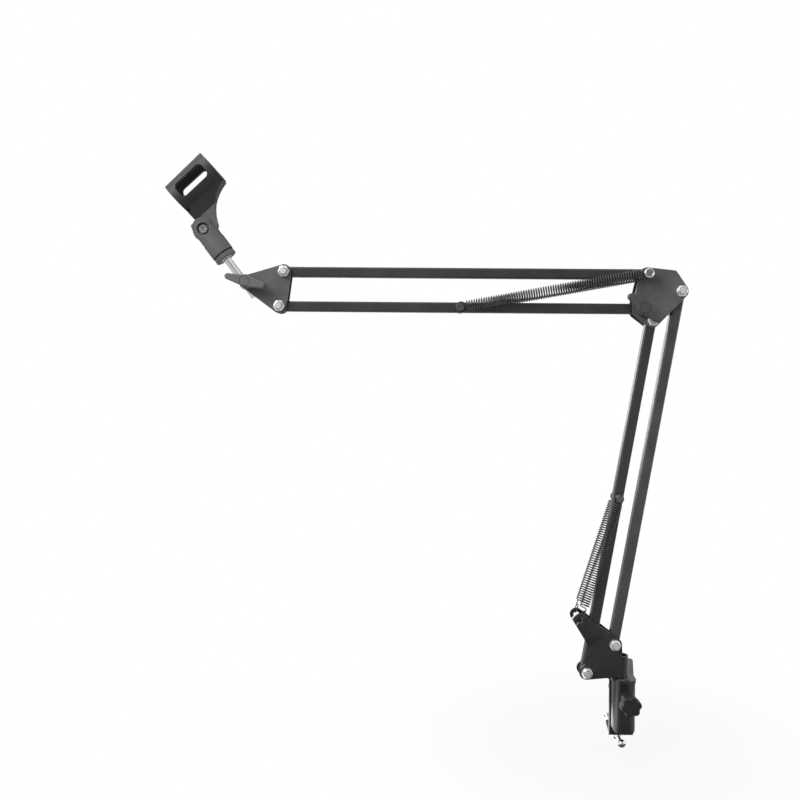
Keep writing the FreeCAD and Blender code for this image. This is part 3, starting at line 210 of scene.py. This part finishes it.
def chrome(name, level):
    """Polished plating."""
    surface = Surface(name, grey(level), 0.15, metallic=1.0)
    surface.rough(surface.noise(300, detail=3.0), 0.1, 0.2)
    surface.tint(surface.noise(90), grey(level - 0.04), grey(level + 0.04))
    surface.relief(surface.noise(1800), 0.003 * MM, 0.2 * MM)
    return surface.material


def steel(name, level):
    """Plain machined steel."""
    surface = Surface(name, grey(level), 0.26, metallic=1.0)
    surface.tint(surface.noise(300), grey(level * 0.87), grey(level * 1.13))
    surface.rough(surface.noise(500), 0.2, 0.32)
    surface.relief(surface.noise(2000), 0.008 * MM, 0.4 * MM)
    return surface.material


def spring_wire():
    """Blackened wire."""
    surface = Surface("spring_wire", grey(0.045), 0.45, specular=0.4)
    surface.tint(surface.noise(220, detail=3.0), grey(0.035), grey(0.055))
    surface.rough(surface.noise(600), 0.38, 0.52)
    surface.relief(surface.noise(2600), 0.01 * MM)
    return surface.material


def moulded(name, level, rough=0.55, specular=0.4):
    """Dull moulded plastic with the grain of a sparked mould."""
    surface = Surface(name, grey(level), rough, specular=specular)
    surface.tint(surface.noise(60, detail=4.0), grey(level * 0.88), grey(level * 1.12))
    surface.rough(surface.noise(350), rough - 0.06, rough + 0.06)
    surface.relief(surface.noise(2200, detail=1.0), 0.01 * MM, 0.5 * MM)
    return surface


# The sleeve leans by this angle, in degrees; its tongue ends this far above the tilt screw. Below that
# line the tongue keeps the plastic's lit level; above it the sleeve is darkened as painted shade.
CLIP_TILT = 42
TONGUE_TOP = 12.3 * MM
TONGUE_FADE = 0.2 * MM


def painted_lit_tongue(surface, node, level):
    """Let a tongue be paler than the rest of the node, which is darkened as painted shade; the tongue is
    painted lit and ends at a level line.
    """
    pivot = frame["nodes"][node].matrix_world.inverted() @ PIVOTS["clip_tilt"]
    lean = math.radians(CLIP_TILT)
    above = Vector((-math.sin(lean), 0, math.cos(lean)))
    offset = surface.add("ShaderNodeVectorMath", operation="SUBTRACT")
    surface.links.new(surface.place, offset.inputs[0])
    offset.inputs[1].default_value = pivot
    height = surface.add("ShaderNodeVectorMath", operation="DOT_PRODUCT")
    surface.links.new(offset.outputs["Vector"], height.inputs[0])
    height.inputs[1].default_value = above
    surface.cover(surface.spread(height.outputs["Value"], 0.0, 1.0, TONGUE_TOP + TONGUE_FADE,
                                 TONGUE_TOP - TONGUE_FADE), level)


def nickel():
    """Nickelled brass of the knobs' inserts."""
    surface = Surface("nickelled_brass", (0.70, 0.68, 0.62), 0.22, metallic=1.0)
    surface.tint(surface.noise(200), (0.64, 0.62, 0.56), (0.76, 0.74, 0.69))
    surface.rough(surface.noise(500), 0.16, 0.28)
    surface.relief(surface.noise(2000), 0.006 * MM, 0.3 * MM)
    return surface.material


# All parts wear one black paint; its level differs from part to part as painted light and shade, and the
# lower right tube is a lit copy of the tube paint.
TUBE_PAINT = black_paint("tube_paint", 0.033)
LIT_TUBE_PAINT = black_paint("tube_paint_painted_light", 0.06)
ELBOW_PAINT = black_paint("elbow_paint", 0.108, rim=0.012)
HEAD_PAINT = black_paint("head_paint", 0.1, rim=0.012)
BASE_PAINT = black_paint("base_paint", 0.022)
SOCKET_PAINT = black_paint("socket_paint", 0.028, rough=0.2)
BLACKENED = black_paint("blackened_brass", 0.03)
ZINC = zinc()
CHROME = chrome("clamp_chrome", 0.64)
ROD_CHROME = chrome("rod_chrome", 0.84)
STEEL = steel("dark_steel", 0.3)
PEG_STEEL = steel("peg_steel", 0.16)
# The spring bolt's rims are lighter steel than the bolt: a painted highlight on its chamfer.
HIGHLIGHT_RIM_STEEL = steel("rim_steel_painted_highlight", 0.6)
WIRE = spring_wire()
PLASTIC = moulded("knob_plastic", 0.112).material
# The elbow's wing knob is the head knob's plastic, darkened as painted shade.
SHADED_KNOB_PLASTIC = moulded("knob_plastic_painted_shade", 0.07).material
STAR_PLASTIC = moulded("star_knob_plastic", 0.018, rough=0.45).material
CLIP_PLASTIC = moulded("clip_plastic", 0.1).material
PLUG_PLASTIC = moulded("plug_plastic", 0.03).material
NYLON = moulded("washer_nylon", 0.10, rough=0.45).material
# The sleeve's darker level is painted shade; its tongue is painted back to the clip's lit level.
shaded_sleeve_surface = moulded("sleeve_plastic_painted_shade", 0.043, specular=0.25)
painted_lit_tongue(shaded_sleeve_surface, "clip_sleeve", 0.1)
SHADED_SLEEVE_PLASTIC = shaded_sleeve_surface.material
NICKEL = nickel()
LOCK_NYLON = moulded("lock_nylon", 0.3, rough=0.4).material

TUBES = ["lower_left_tube", "lower_right_tube", "upper_lower_tube", "upper_top_tube"]
FINISHES = (
    (TUBE_PAINT, ["lower_left_tube", "upper_lower_tube", "upper_top_tube"]),
    (LIT_TUBE_PAINT, ["lower_right_tube"]),
    (BASE_PAINT, ["base_bracket", "clamp_frame", "clamp_screw_nut", "lock_boss"]),
    (SOCKET_PAINT, ["post_socket"]),
    (BLACKENED, ["clip_thread_insert"]),
    (ELBOW_PAINT, ["elbow_plate_front", "elbow_plate_rear"]),
    (HEAD_PAINT, ["head_plate_front", "head_plate_rear"]),
    (ZINC, ["base_bolts", "base_nuts", "elbow_bolts", "elbow_nuts", "head_bolts", "head_nuts",
            "elbow_clamp_bolt", "clip_nut", "lock_screw", "swivel_post", "rod_eye_bolt"]),
    (STEEL, ["elbow_spring_bolt", "clip_screw"]),
    (PEG_STEEL, ["upper_spring_peg", "lower_spring_peg"]),
    (CHROME, ["clamp_screw", "cross_bar", "cross_bar_ends", "pressure_pad"]),
    (ROD_CHROME, ["mic_rod"]),
    (PLASTIC, ["head_wing_knob"]),
    (SHADED_KNOB_PLASTIC, ["elbow_wing_knob"]),
    (STAR_PLASTIC, ["lock_knob"]),
    (CLIP_PLASTIC, ["clip_base"]),
    (SHADED_SLEEVE_PLASTIC, ["clip_sleeve"]),
    (PLUG_PLASTIC, [name + "_plugs" for name in TUBES]),
    (NYLON, ["base_washers", "elbow_washers", "head_washers", "thrust_washer"]),
    (NICKEL, ["elbow_wing_insert", "head_wing_insert"]),
)
for finish, names in FINISHES:
    for name in names:
        mesh = frame["nodes"][name].data
        mesh.materials.clear()
        mesh.materials.append(finish)


# Meshes
def ring_faces(rings, sides, closed):
    """Quads between rings of points; closed joins the last ring to the first."""
    faces = []
    for ring in range(rings if closed else rings - 1):
        here = ring * sides
        following = (ring + 1) % rings * sides
        for k in range(sides):
            turn = (k + 1) % sides
            faces.append((here + k, here + turn, following + turn, following + k))
    return faces


def smooth_piece(name, corners, faces, finish):
    """A new object with smooth shading and one material."""
    mesh = bpy.data.meshes.new(name)
    mesh.from_pydata(corners, [], faces)
    mesh.shade_smooth()
    mesh.update()
    mesh.materials.append(finish)
    piece = bpy.data.objects.new(name, mesh)
    bpy.context.scene.collection.objects.link(piece)
    return piece


# Springs: one wire each, with a flat loop at both ends.
WIRE_SIDES = 10
STEPS_PER_TURN = 22
LOOP_START = math.radians(-30)
LOOP_END = math.radians(270)
LOOP_STEPS = 28
BEND_STEPS = 7


def spring_end(radius, bend, lead):
    """Points round an end loop about 0 and along its lead to the start of the coil."""
    points = []
    for step in range(LOOP_STEPS + 1):
        angle = LOOP_START + (LOOP_END - LOOP_START) * step / LOOP_STEPS
        points.append(Vector((radius * math.cos(angle), radius * math.sin(angle), -bend)))
    for step in range(BEND_STEPS + 1):
        angle = math.pi / 2 * step / BEND_STEPS
        points.append(Vector((lead + bend * math.sin(angle), -radius, -bend * math.cos(angle))))
    return points


def spring_line(span, radius, turns, leads):
    """Points along a spring whose end loops lie about 0 and about span on the X axis."""
    bend = radius / 3
    near, far = (spring_end(radius, bend, lead) for lead in leads)
    coil_start = leads[0] + bend
    coil_steps = round(turns * STEPS_PER_TURN)
    coil_length = span - leads[1] - bend - coil_start
    coil = []
    for step in range(1, coil_steps):
        angle = 2 * math.pi * turns * step / coil_steps
        coil.append(Vector((coil_start + coil_length * step / coil_steps,
                            -radius * math.cos(angle), radius * math.sin(angle))))
    half = math.pi * turns
    other_end = Matrix.Rotation(math.pi, 3, Vector((0, -math.cos(half), math.sin(half))))
    centre = Vector((span / 2, 0, 0))
    far = [other_end @ (point - centre) + centre for point in reversed(far)]
    return near + coil + far


def wire_piece(name, points, radius):
    """A round wire along points, closed at both ends."""
    tangents = []
    for i in range(len(points)):
        before = points[max(i - 1, 0)]
        after = points[min(i + 1, len(points) - 1)]
        tangents.append((after - before).normalized())
    side = tangents[0].orthogonal().normalized()
    corners = []
    for point, tangent in zip(points, tangents):
        side = (side - tangent * side.dot(tangent)).normalized()
        other = tangent.cross(side)
        for k in range(WIRE_SIDES):
            angle = 2 * math.pi * k / WIRE_SIDES
            corners.append(point + (side * math.cos(angle) + other * math.sin(angle)) * radius)
    faces = ring_faces(len(points), WIRE_SIDES, closed=False)
    faces.append(tuple(reversed(range(WIRE_SIDES))))
    faces.append(tuple(len(corners) - WIRE_SIDES + k for k in range(WIRE_SIDES)))
    return smooth_piece(name, corners, faces, WIRE)


def spring_place(start, end, flip):
    """The matrix that lays a spring's X axis from start to end, its loops in the arm's plane."""
    along = (end - start).normalized()
    out = Vector((0, -1, 0))
    across = out.cross(along)
    turn = Matrix((along, across, out)).transposed().to_4x4()
    return Matrix.Translation(start) @ turn @ Matrix.Rotation(flip, 4, "X")


# A spring's bent share is the share of its length next to its anchor; nothing here reads it.
UPPER_SPRING = {"wire": 1.2 * MM, "diameter": 10.8 * MM, "turns": 71, "leads": (3.5 * MM, 3 * MM),
                "bent_share": 0.35}
LOWER_SPRING = {"wire": 1.1 * MM, "diameter": 9.5 * MM, "turns": 45.25, "leads": (4 * MM, 6.5 * MM),
                "bent_share": 0.65}
PIN_RADIUS = 3 * MM
PIN_GAP = 0.1 * MM
# The holes of the base's ears, from the pivot of the left tube.
EAR_OFFSET = Vector((-7.4, 0, 53.2)) * MM
EAR_HOLE = 5.5 * MM


def make_spring(kind, side, sizes, anchor, peg, anchor_back):
    """A spring from its peg on a tube to its anchor."""
    node = f"{kind}_spring_{side}"
    radius = (sizes["diameter"] - sizes["wire"]) / 2
    depth = middle(node).y
    start = Vector((peg.x, depth, peg.z))
    end = Vector((anchor.x, depth, anchor.z))
    along = (end - start).normalized()
    peg_back = radius - sizes["wire"] / 2 - PIN_RADIUS - PIN_GAP
    span = (end - start).length - peg_back - anchor_back
    points = spring_line(span, radius, sizes["turns"], sizes["leads"])
    piece = wire_piece(f"{kind}_spring_{side}_wire", points, sizes["wire"] / 2)
    flip = 0.0 if side == "front" else math.pi
    piece.data.transform(spring_place(start + along * peg_back, end, flip))
    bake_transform(piece)
    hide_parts(node)


UPPER_BACK = UPPER_SPRING["diameter"] / 2 - UPPER_SPRING["wire"] - PIN_RADIUS - PIN_GAP
EAR_BACK = (LOWER_SPRING["diameter"] - LOWER_SPRING["wire"]) / 2 + EAR_HOLE / 4
EAR = PIVOTS["lower_arm_swing"] + EAR_OFFSET
for side in ("front", "rear"):
    make_spring("upper", side, UPPER_SPRING, PIVOTS["upper_link_swing"], middle("upper_spring_peg"),
                UPPER_BACK)
    make_spring("lower", side, LOWER_SPRING, EAR, middle("lower_spring_peg"),
                EAR_BACK)


# Turned details
TURN_SIDES = 48
SHARP_ANGLE = math.radians(35)


def turned_piece(name, corners, faces, finish, body):
    """A piece that rides on a body, with its sharp corners kept sharp."""
    piece = smooth_piece(name, corners, faces, finish)
    piece.data.set_sharp_from_angle(angle=SHARP_ANGLE)
    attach(piece, body)
    return piece


# Sections of turned rings: radius and height over the face that they stand on, in millimetres.
LOCK_RING = ((3.02, -0.4), (3.7, -0.4), (3.7, 0.1), (3.55, 0.28), (3.3, 0.36), (3.1, 0.3), (3.02, 0.15))
BOLT_RIM = ((3.3, -0.5), (4.55, -0.5), (4.55, 0.02), (4.2, 0.3), (3.9, 0.4), (3.6, 0.34), (3.3, 0.1))


def turned_ring(name, section, place, outward, finish, body):
    """A ring about an axis along Y; outward is the Y direction of its outside."""
    corners = []
    for radius, out in section:
        for k in range(TURN_SIDES):
            angle = -outward * 2 * math.pi * k / TURN_SIDES
            spot = Vector((radius * math.cos(angle), outward * out, radius * math.sin(angle)))
            corners.append(place + spot * MM)
    faces = ring_faces(len(section), TURN_SIDES, closed=True)
    turned_piece(name, corners, faces, finish, body)


SPREADS = {"base": PIVOTS["lower_link_swing"] - PIVOTS["lower_arm_swing"],
           "head": PIVOTS["upper_link_swing"] - PIVOTS["upper_arm_swing"]}
NUT_PAIRS = {"base": (PIVOTS["lower_arm_swing"], SPREADS["base"]),
             "elbow": (PIVOTS["elbow_level"], SPREADS["base"]),
             "head": (PIVOTS["head_level"], SPREADS["head"])}
for body, (pivot, spread) in NUT_PAIRS.items():
    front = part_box(body + "_nuts")[0].y
    for number, place in enumerate((pivot, pivot + spread), start=1):
        turned_ring(f"{body}_lock_ring_{number}", LOCK_RING, Vector((place.x, front, place.z)), -1,
                    LOCK_NYLON, body)

# Rims of lighter steel round the spring bolt's ends: a painted highlight on its chamfer.
bolt_axis = middle("elbow_spring_bolt")
for side, outward, corner in zip(("front", "rear"), (-1, 1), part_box("elbow_spring_bolt")):
    turned_ring(f"spring_bolt_rim_{side}", BOLT_RIM, Vector((bolt_axis.x, corner.y, bolt_axis.z)), outward,
                HIGHLIGHT_RIM_STEEL, "elbow")


# Clamp screw: a rolled thread between the head and the ball that the pad swivels on.
SCREW_RADIUS = 5 * MM
THREAD_DEPTH = 0.9 * MM
THREAD_PITCH = 3 * MM
THREAD_STEPS = 14
THREAD_END = 6.6 * MM
# Half a crest's width and a flank's width, as shares of the pitch.
HALF_CREST = 0.12
FLANK = 0.2
HEAD_LENGTH = 10 * MM
# Radius and height in millimetres: the head over its end, the neck over the ball's middle.
HEAD_PROFILE = ((0.0, 0.0), (4.6, 0.0), (5.5, 0.9), (5.5, 9.1), (4.9, 10.0), (4.1, 10.0))
NECK_PROFILE = ((4.1, -6.5), (2.5, -6.0), (2.5, -2.6))
BALL_RADIUS = 3.5 * MM
BALL_STEPS = 16
BALL_FIRST_STEP = 3


def thread_radius(height, angle):
    """The screw's radius, whose crest climbs one pitch in a turn."""
    share = (height / THREAD_PITCH - angle / (2 * math.pi)) % 1.0
    flank = min(max((abs(share - 0.5) - HALF_CREST) / FLANK, 0.0), 1.0)
    return SCREW_RADIUS - THREAD_DEPTH * flank


def make_clamp_screw():
    """Rings of points up the head, the thread, the neck and the ball, joined to one skin."""
    low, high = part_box("clamp_screw")
    axis = (low + high) / 2
    angles = [2 * math.pi * k / TURN_SIDES for k in range(TURN_SIDES)]
    rings = [[(radius * MM, low.z + rise * MM) for _ in angles] for radius, rise in HEAD_PROFILE]
    ball_middle = high.z - BALL_RADIUS
    start = low.z + HEAD_LENGTH
    end = ball_middle - THREAD_END
    steps = round((end - start) / THREAD_PITCH * THREAD_STEPS)
    for step in range(steps + 1):
        height = start + (end - start) * step / steps
        rings.append([(thread_radius(height, angle), height) for angle in angles])
    rings += [[(radius * MM, ball_middle + rise * MM) for _ in angles] for radius, rise in NECK_PROFILE]
    for step in range(BALL_FIRST_STEP, BALL_STEPS + 1):
        lift = math.pi * step / BALL_STEPS
        radius = BALL_RADIUS * math.sin(lift)
        height = ball_middle - BALL_RADIUS * math.cos(lift)
        rings.append([(radius, height) for _ in angles])
    corners = [(axis.x + radius * math.cos(angle), axis.y + radius * math.sin(angle), height)
               for ring in rings for (radius, height), angle in zip(ring, angles)]
    faces = ring_faces(len(rings), TURN_SIDES, closed=False)
    piece = turned_piece("clamp_screw_thread", corners, faces, CHROME, "clamp_screw")
    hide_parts("clamp_screw")


make_clamp_screw()


# Stage
FLOOR_DROP = 4 * MM
FLOOR_SIZE = 12.0
FLOOR_GREY = 0.3
FLOOR_ROUGHNESS = 0.9
# Ramps: where they start and end, and their values there. The first three are over the floor, in metres.
WHITE_BY_DISTANCE = (0.08, 0.3, 0.92, 1.0)
MIRRORED_BEHIND = (-0.05, 0.3, 0.12, 0.5)
MIRRORED_BESIDE = (0.03, 0.08, 0.12, 0.6)
AMBIENT_BY_HEIGHT = (-0.4, 0.7, 0.05, 0.36)
# The strip of light that the clamp mirrors lies between two slanting lines and fades with distance.
STRIP_BY_DISTANCE = (0.15, 0.35, 1.0, 0.0)
STRIP_LIGHT = 2.2
STRIP_SLOPE = 0.84
STRIP_FROM = -0.01
STRIP_TO = 0.1
STRIP_FADE = 0.03
# Strength of the room in reflections, from the viewer's side (0) to the backdrop (1).
ROOM = ((0.05, 0.45), (0.125, 0.9), (0.275, 0.9), (0.375, 0.35), (0.92, 0.35), (0.985, 1.0))


class Tree:
    """Short ways to add value nodes to a world's or a material's node tree."""

    def __init__(self, owner):
        self.nodes = owner.node_tree.nodes
        self.links = owner.node_tree.links

    def feed(self, value, socket):
        if isinstance(value, (int, float)):
            socket.default_value = value
        else:
            self.links.new(value, socket)

    def ramp(self, value, start, end, low, high):
        node = self.nodes.new("ShaderNodeMapRange")
        node.interpolation_type = "SMOOTHSTEP"
        for name, entry in (("Value", value), ("From Min", start), ("From Max", end),
                            ("To Min", low), ("To Max", high)):
            self.feed(entry, node.inputs[name])
        return node.outputs["Result"]

    def math(self, operation, first, second=0.0):
        node = self.nodes.new("ShaderNodeMath")
        node.operation = operation
        self.feed(first, node.inputs[0])
        self.feed(second, node.inputs[1])
        return node.outputs[0]

    def levels(self, value, stops):
        """A grey that eases through stops of place and strength."""
        node = self.nodes.new("ShaderNodeValToRGB")
        node.color_ramp.interpolation = "EASE"
        marks = node.color_ramp.elements
        while len(marks) < len(stops):
            marks.new(0.5)
        for mark, (place, level) in zip(marks, stops):
            mark.position = place
            mark.color = (level, level, level, 1)
        self.feed(value, node.inputs["Fac"])
        return node.outputs["Color"]

    def blend(self, share, first, second):
        node = self.nodes.new("ShaderNodeMix")
        self.feed(share, node.inputs[0])
        self.feed(first, node.inputs[2])
        self.feed(second, node.inputs[3])
        return node.outputs[0]

    def rays(self):
        """Camera and transmission rays together, and glossy rays."""
        path = self.nodes.new("ShaderNodeLightPath").outputs
        seen = self.math("MAXIMUM", path["Is Camera Ray"], path["Is Transmission Ray"])
        return seen, path["Is Glossy Ray"]

    def split(self, vector):
        node = self.nodes.new("ShaderNodeSeparateXYZ")
        self.links.new(vector, node.inputs[0])
        return node.outputs


def make_floor():
    """White paper, white to the eye, with a soft shadow close to the clamp."""
    low = cad_box[0].z - FLOOR_DROP
    half = FLOOR_SIZE / 2
    mesh = bpy.data.meshes.new("floor")
    corners = [(-half, -half, low), (half, -half, low), (half, half, low), (-half, half, low)]
    mesh.from_pydata(corners, [], [(0, 1, 2, 3)])
    floor = bpy.data.objects.new("floor", mesh)
    bpy.context.scene.collection.objects.link(floor)
    surface = Surface("floor_paper", (FLOOR_GREY, FLOOR_GREY, FLOOR_GREY), FLOOR_ROUGHNESS)
    tree = Tree(surface.material)
    seen, glossy = tree.rays()
    away = surface.add("ShaderNodeVectorMath", operation="LENGTH")
    surface.links.new(surface.place, away.inputs[0])
    near_white = tree.ramp(away.outputs["Value"], *WHITE_BY_DISTANCE)
    spot = tree.split(surface.place)
    behind = tree.ramp(spot["Y"], *MIRRORED_BEHIND)
    beside = tree.ramp(tree.math("ABSOLUTE", spot["X"]), *MIRRORED_BESIDE)
    leftward = tree.math("SUBTRACT", tree.math("MULTIPLY", spot["Y"], STRIP_SLOPE), spot["X"])
    near_side = tree.ramp(leftward, STRIP_FROM, STRIP_FROM + STRIP_FADE, 0.0, STRIP_LIGHT)
    far_side = tree.ramp(leftward, STRIP_TO, STRIP_TO + STRIP_FADE, 1.0, 0.0)
    strip = tree.math("MULTIPLY", tree.math("MULTIPLY", near_side, far_side),
                      tree.ramp(away.outputs["Value"], *STRIP_BY_DISTANCE))
    mirrored = tree.math("ADD", tree.math("MAXIMUM", behind, beside), strip)
    glow = surface.add("ShaderNodeEmission")
    surface.links.new(tree.blend(glossy, 1.0, mirrored), glow.inputs["Strength"])
    mix = surface.add("ShaderNodeMixShader")
    share = tree.blend(glossy, tree.blend(seen, 0.0, near_white), 1.0)
    surface.links.new(share, mix.inputs["Fac"])
    surface.links.new(surface.shader.outputs["BSDF"], mix.inputs[1])
    surface.links.new(glow.outputs["Emission"], mix.inputs[2])
    surface.links.new(mix.outputs["Shader"], surface.nodes["Material Output"].inputs["Surface"])
    mesh.materials.append(surface.material)


def make_world():
    """A white backdrop behind the arm; light comes mostly from above."""
    world = bpy.data.worlds.new("studio")
    bpy.context.scene.world = world
    world.use_nodes = True
    tree = Tree(world)
    seen, glossy = tree.rays()
    way = tree.split(tree.nodes.new("ShaderNodeTexCoord").outputs["Generated"])
    ambient = tree.ramp(way["Z"], *AMBIENT_BY_HEIGHT)
    facing = tree.math("ADD", tree.math("MULTIPLY", way["Y"], 0.5), 0.5)
    reflected = tree.levels(facing, ROOM)
    strength = tree.blend(seen, tree.blend(glossy, ambient, reflected), 1.0)
    sky = tree.nodes["Background"]
    sky.inputs["Color"].default_value = (1, 1, 1, 1)
    tree.links.new(strength, sky.inputs["Strength"])


# Name, place, aim, width, height and power in watts.
SOFT_BOXES = (
    ("left_box", (-1.2, -0.85, 1.25), (-0.15, 0, 0.3), 0.9, 1.1, 29),
    ("right_box", (0.65, 0.0, 0.15), (0.0, 0, 0.2), 0.4, 0.8, 2.5),
    ("top_box", (-0.1, 0.1, 1.9), (-0.15, 0, 0.25), 1.8, 1.2, 12),
    ("back_box", (-0.9, 1.5, 0.9), (-0.1, 0, 0.2), 1.4, 1.4, 16),
)


def soft_box(name, place, aim, width, height, power):
    """A flat lamp that lights the arm and stays out of the picture."""
    light = bpy.data.lights.new(name, "AREA")
    light.shape = "RECTANGLE"
    light.size = width
    light.size_y = height
    light.energy = power
    lamp = bpy.data.objects.new(name, light)
    lamp.location = place
    lamp.rotation_euler = (Vector(aim) - Vector(place)).to_track_quat("-Z", "Y").to_euler()
    lamp.visible_camera = False
    bpy.context.scene.collection.objects.link(lamp)


def make_camera():
    """The photograph's viewpoint."""
    camera = bpy.data.cameras.new("camera")
    camera.sensor_width = SENSOR
    camera.lens = FOCAL_PIXELS / PHOTO_PIXELS * SENSOR
    camera.clip_start = NEAR_CLIP
    holder = bpy.data.objects.new("camera", camera)
    holder.location = CAMERA_PLACE
    holder.rotation_euler = (math.radians(90 - CAMERA_PITCH), 0, math.radians(CAMERA_YAW))
    bpy.context.scene.collection.objects.link(holder)
    bpy.context.scene.camera = holder


make_floor()
make_world()
for box in SOFT_BOXES:
    soft_box(*box)
make_camera()
bpy.context.scene.view_settings.view_transform = "Standard"
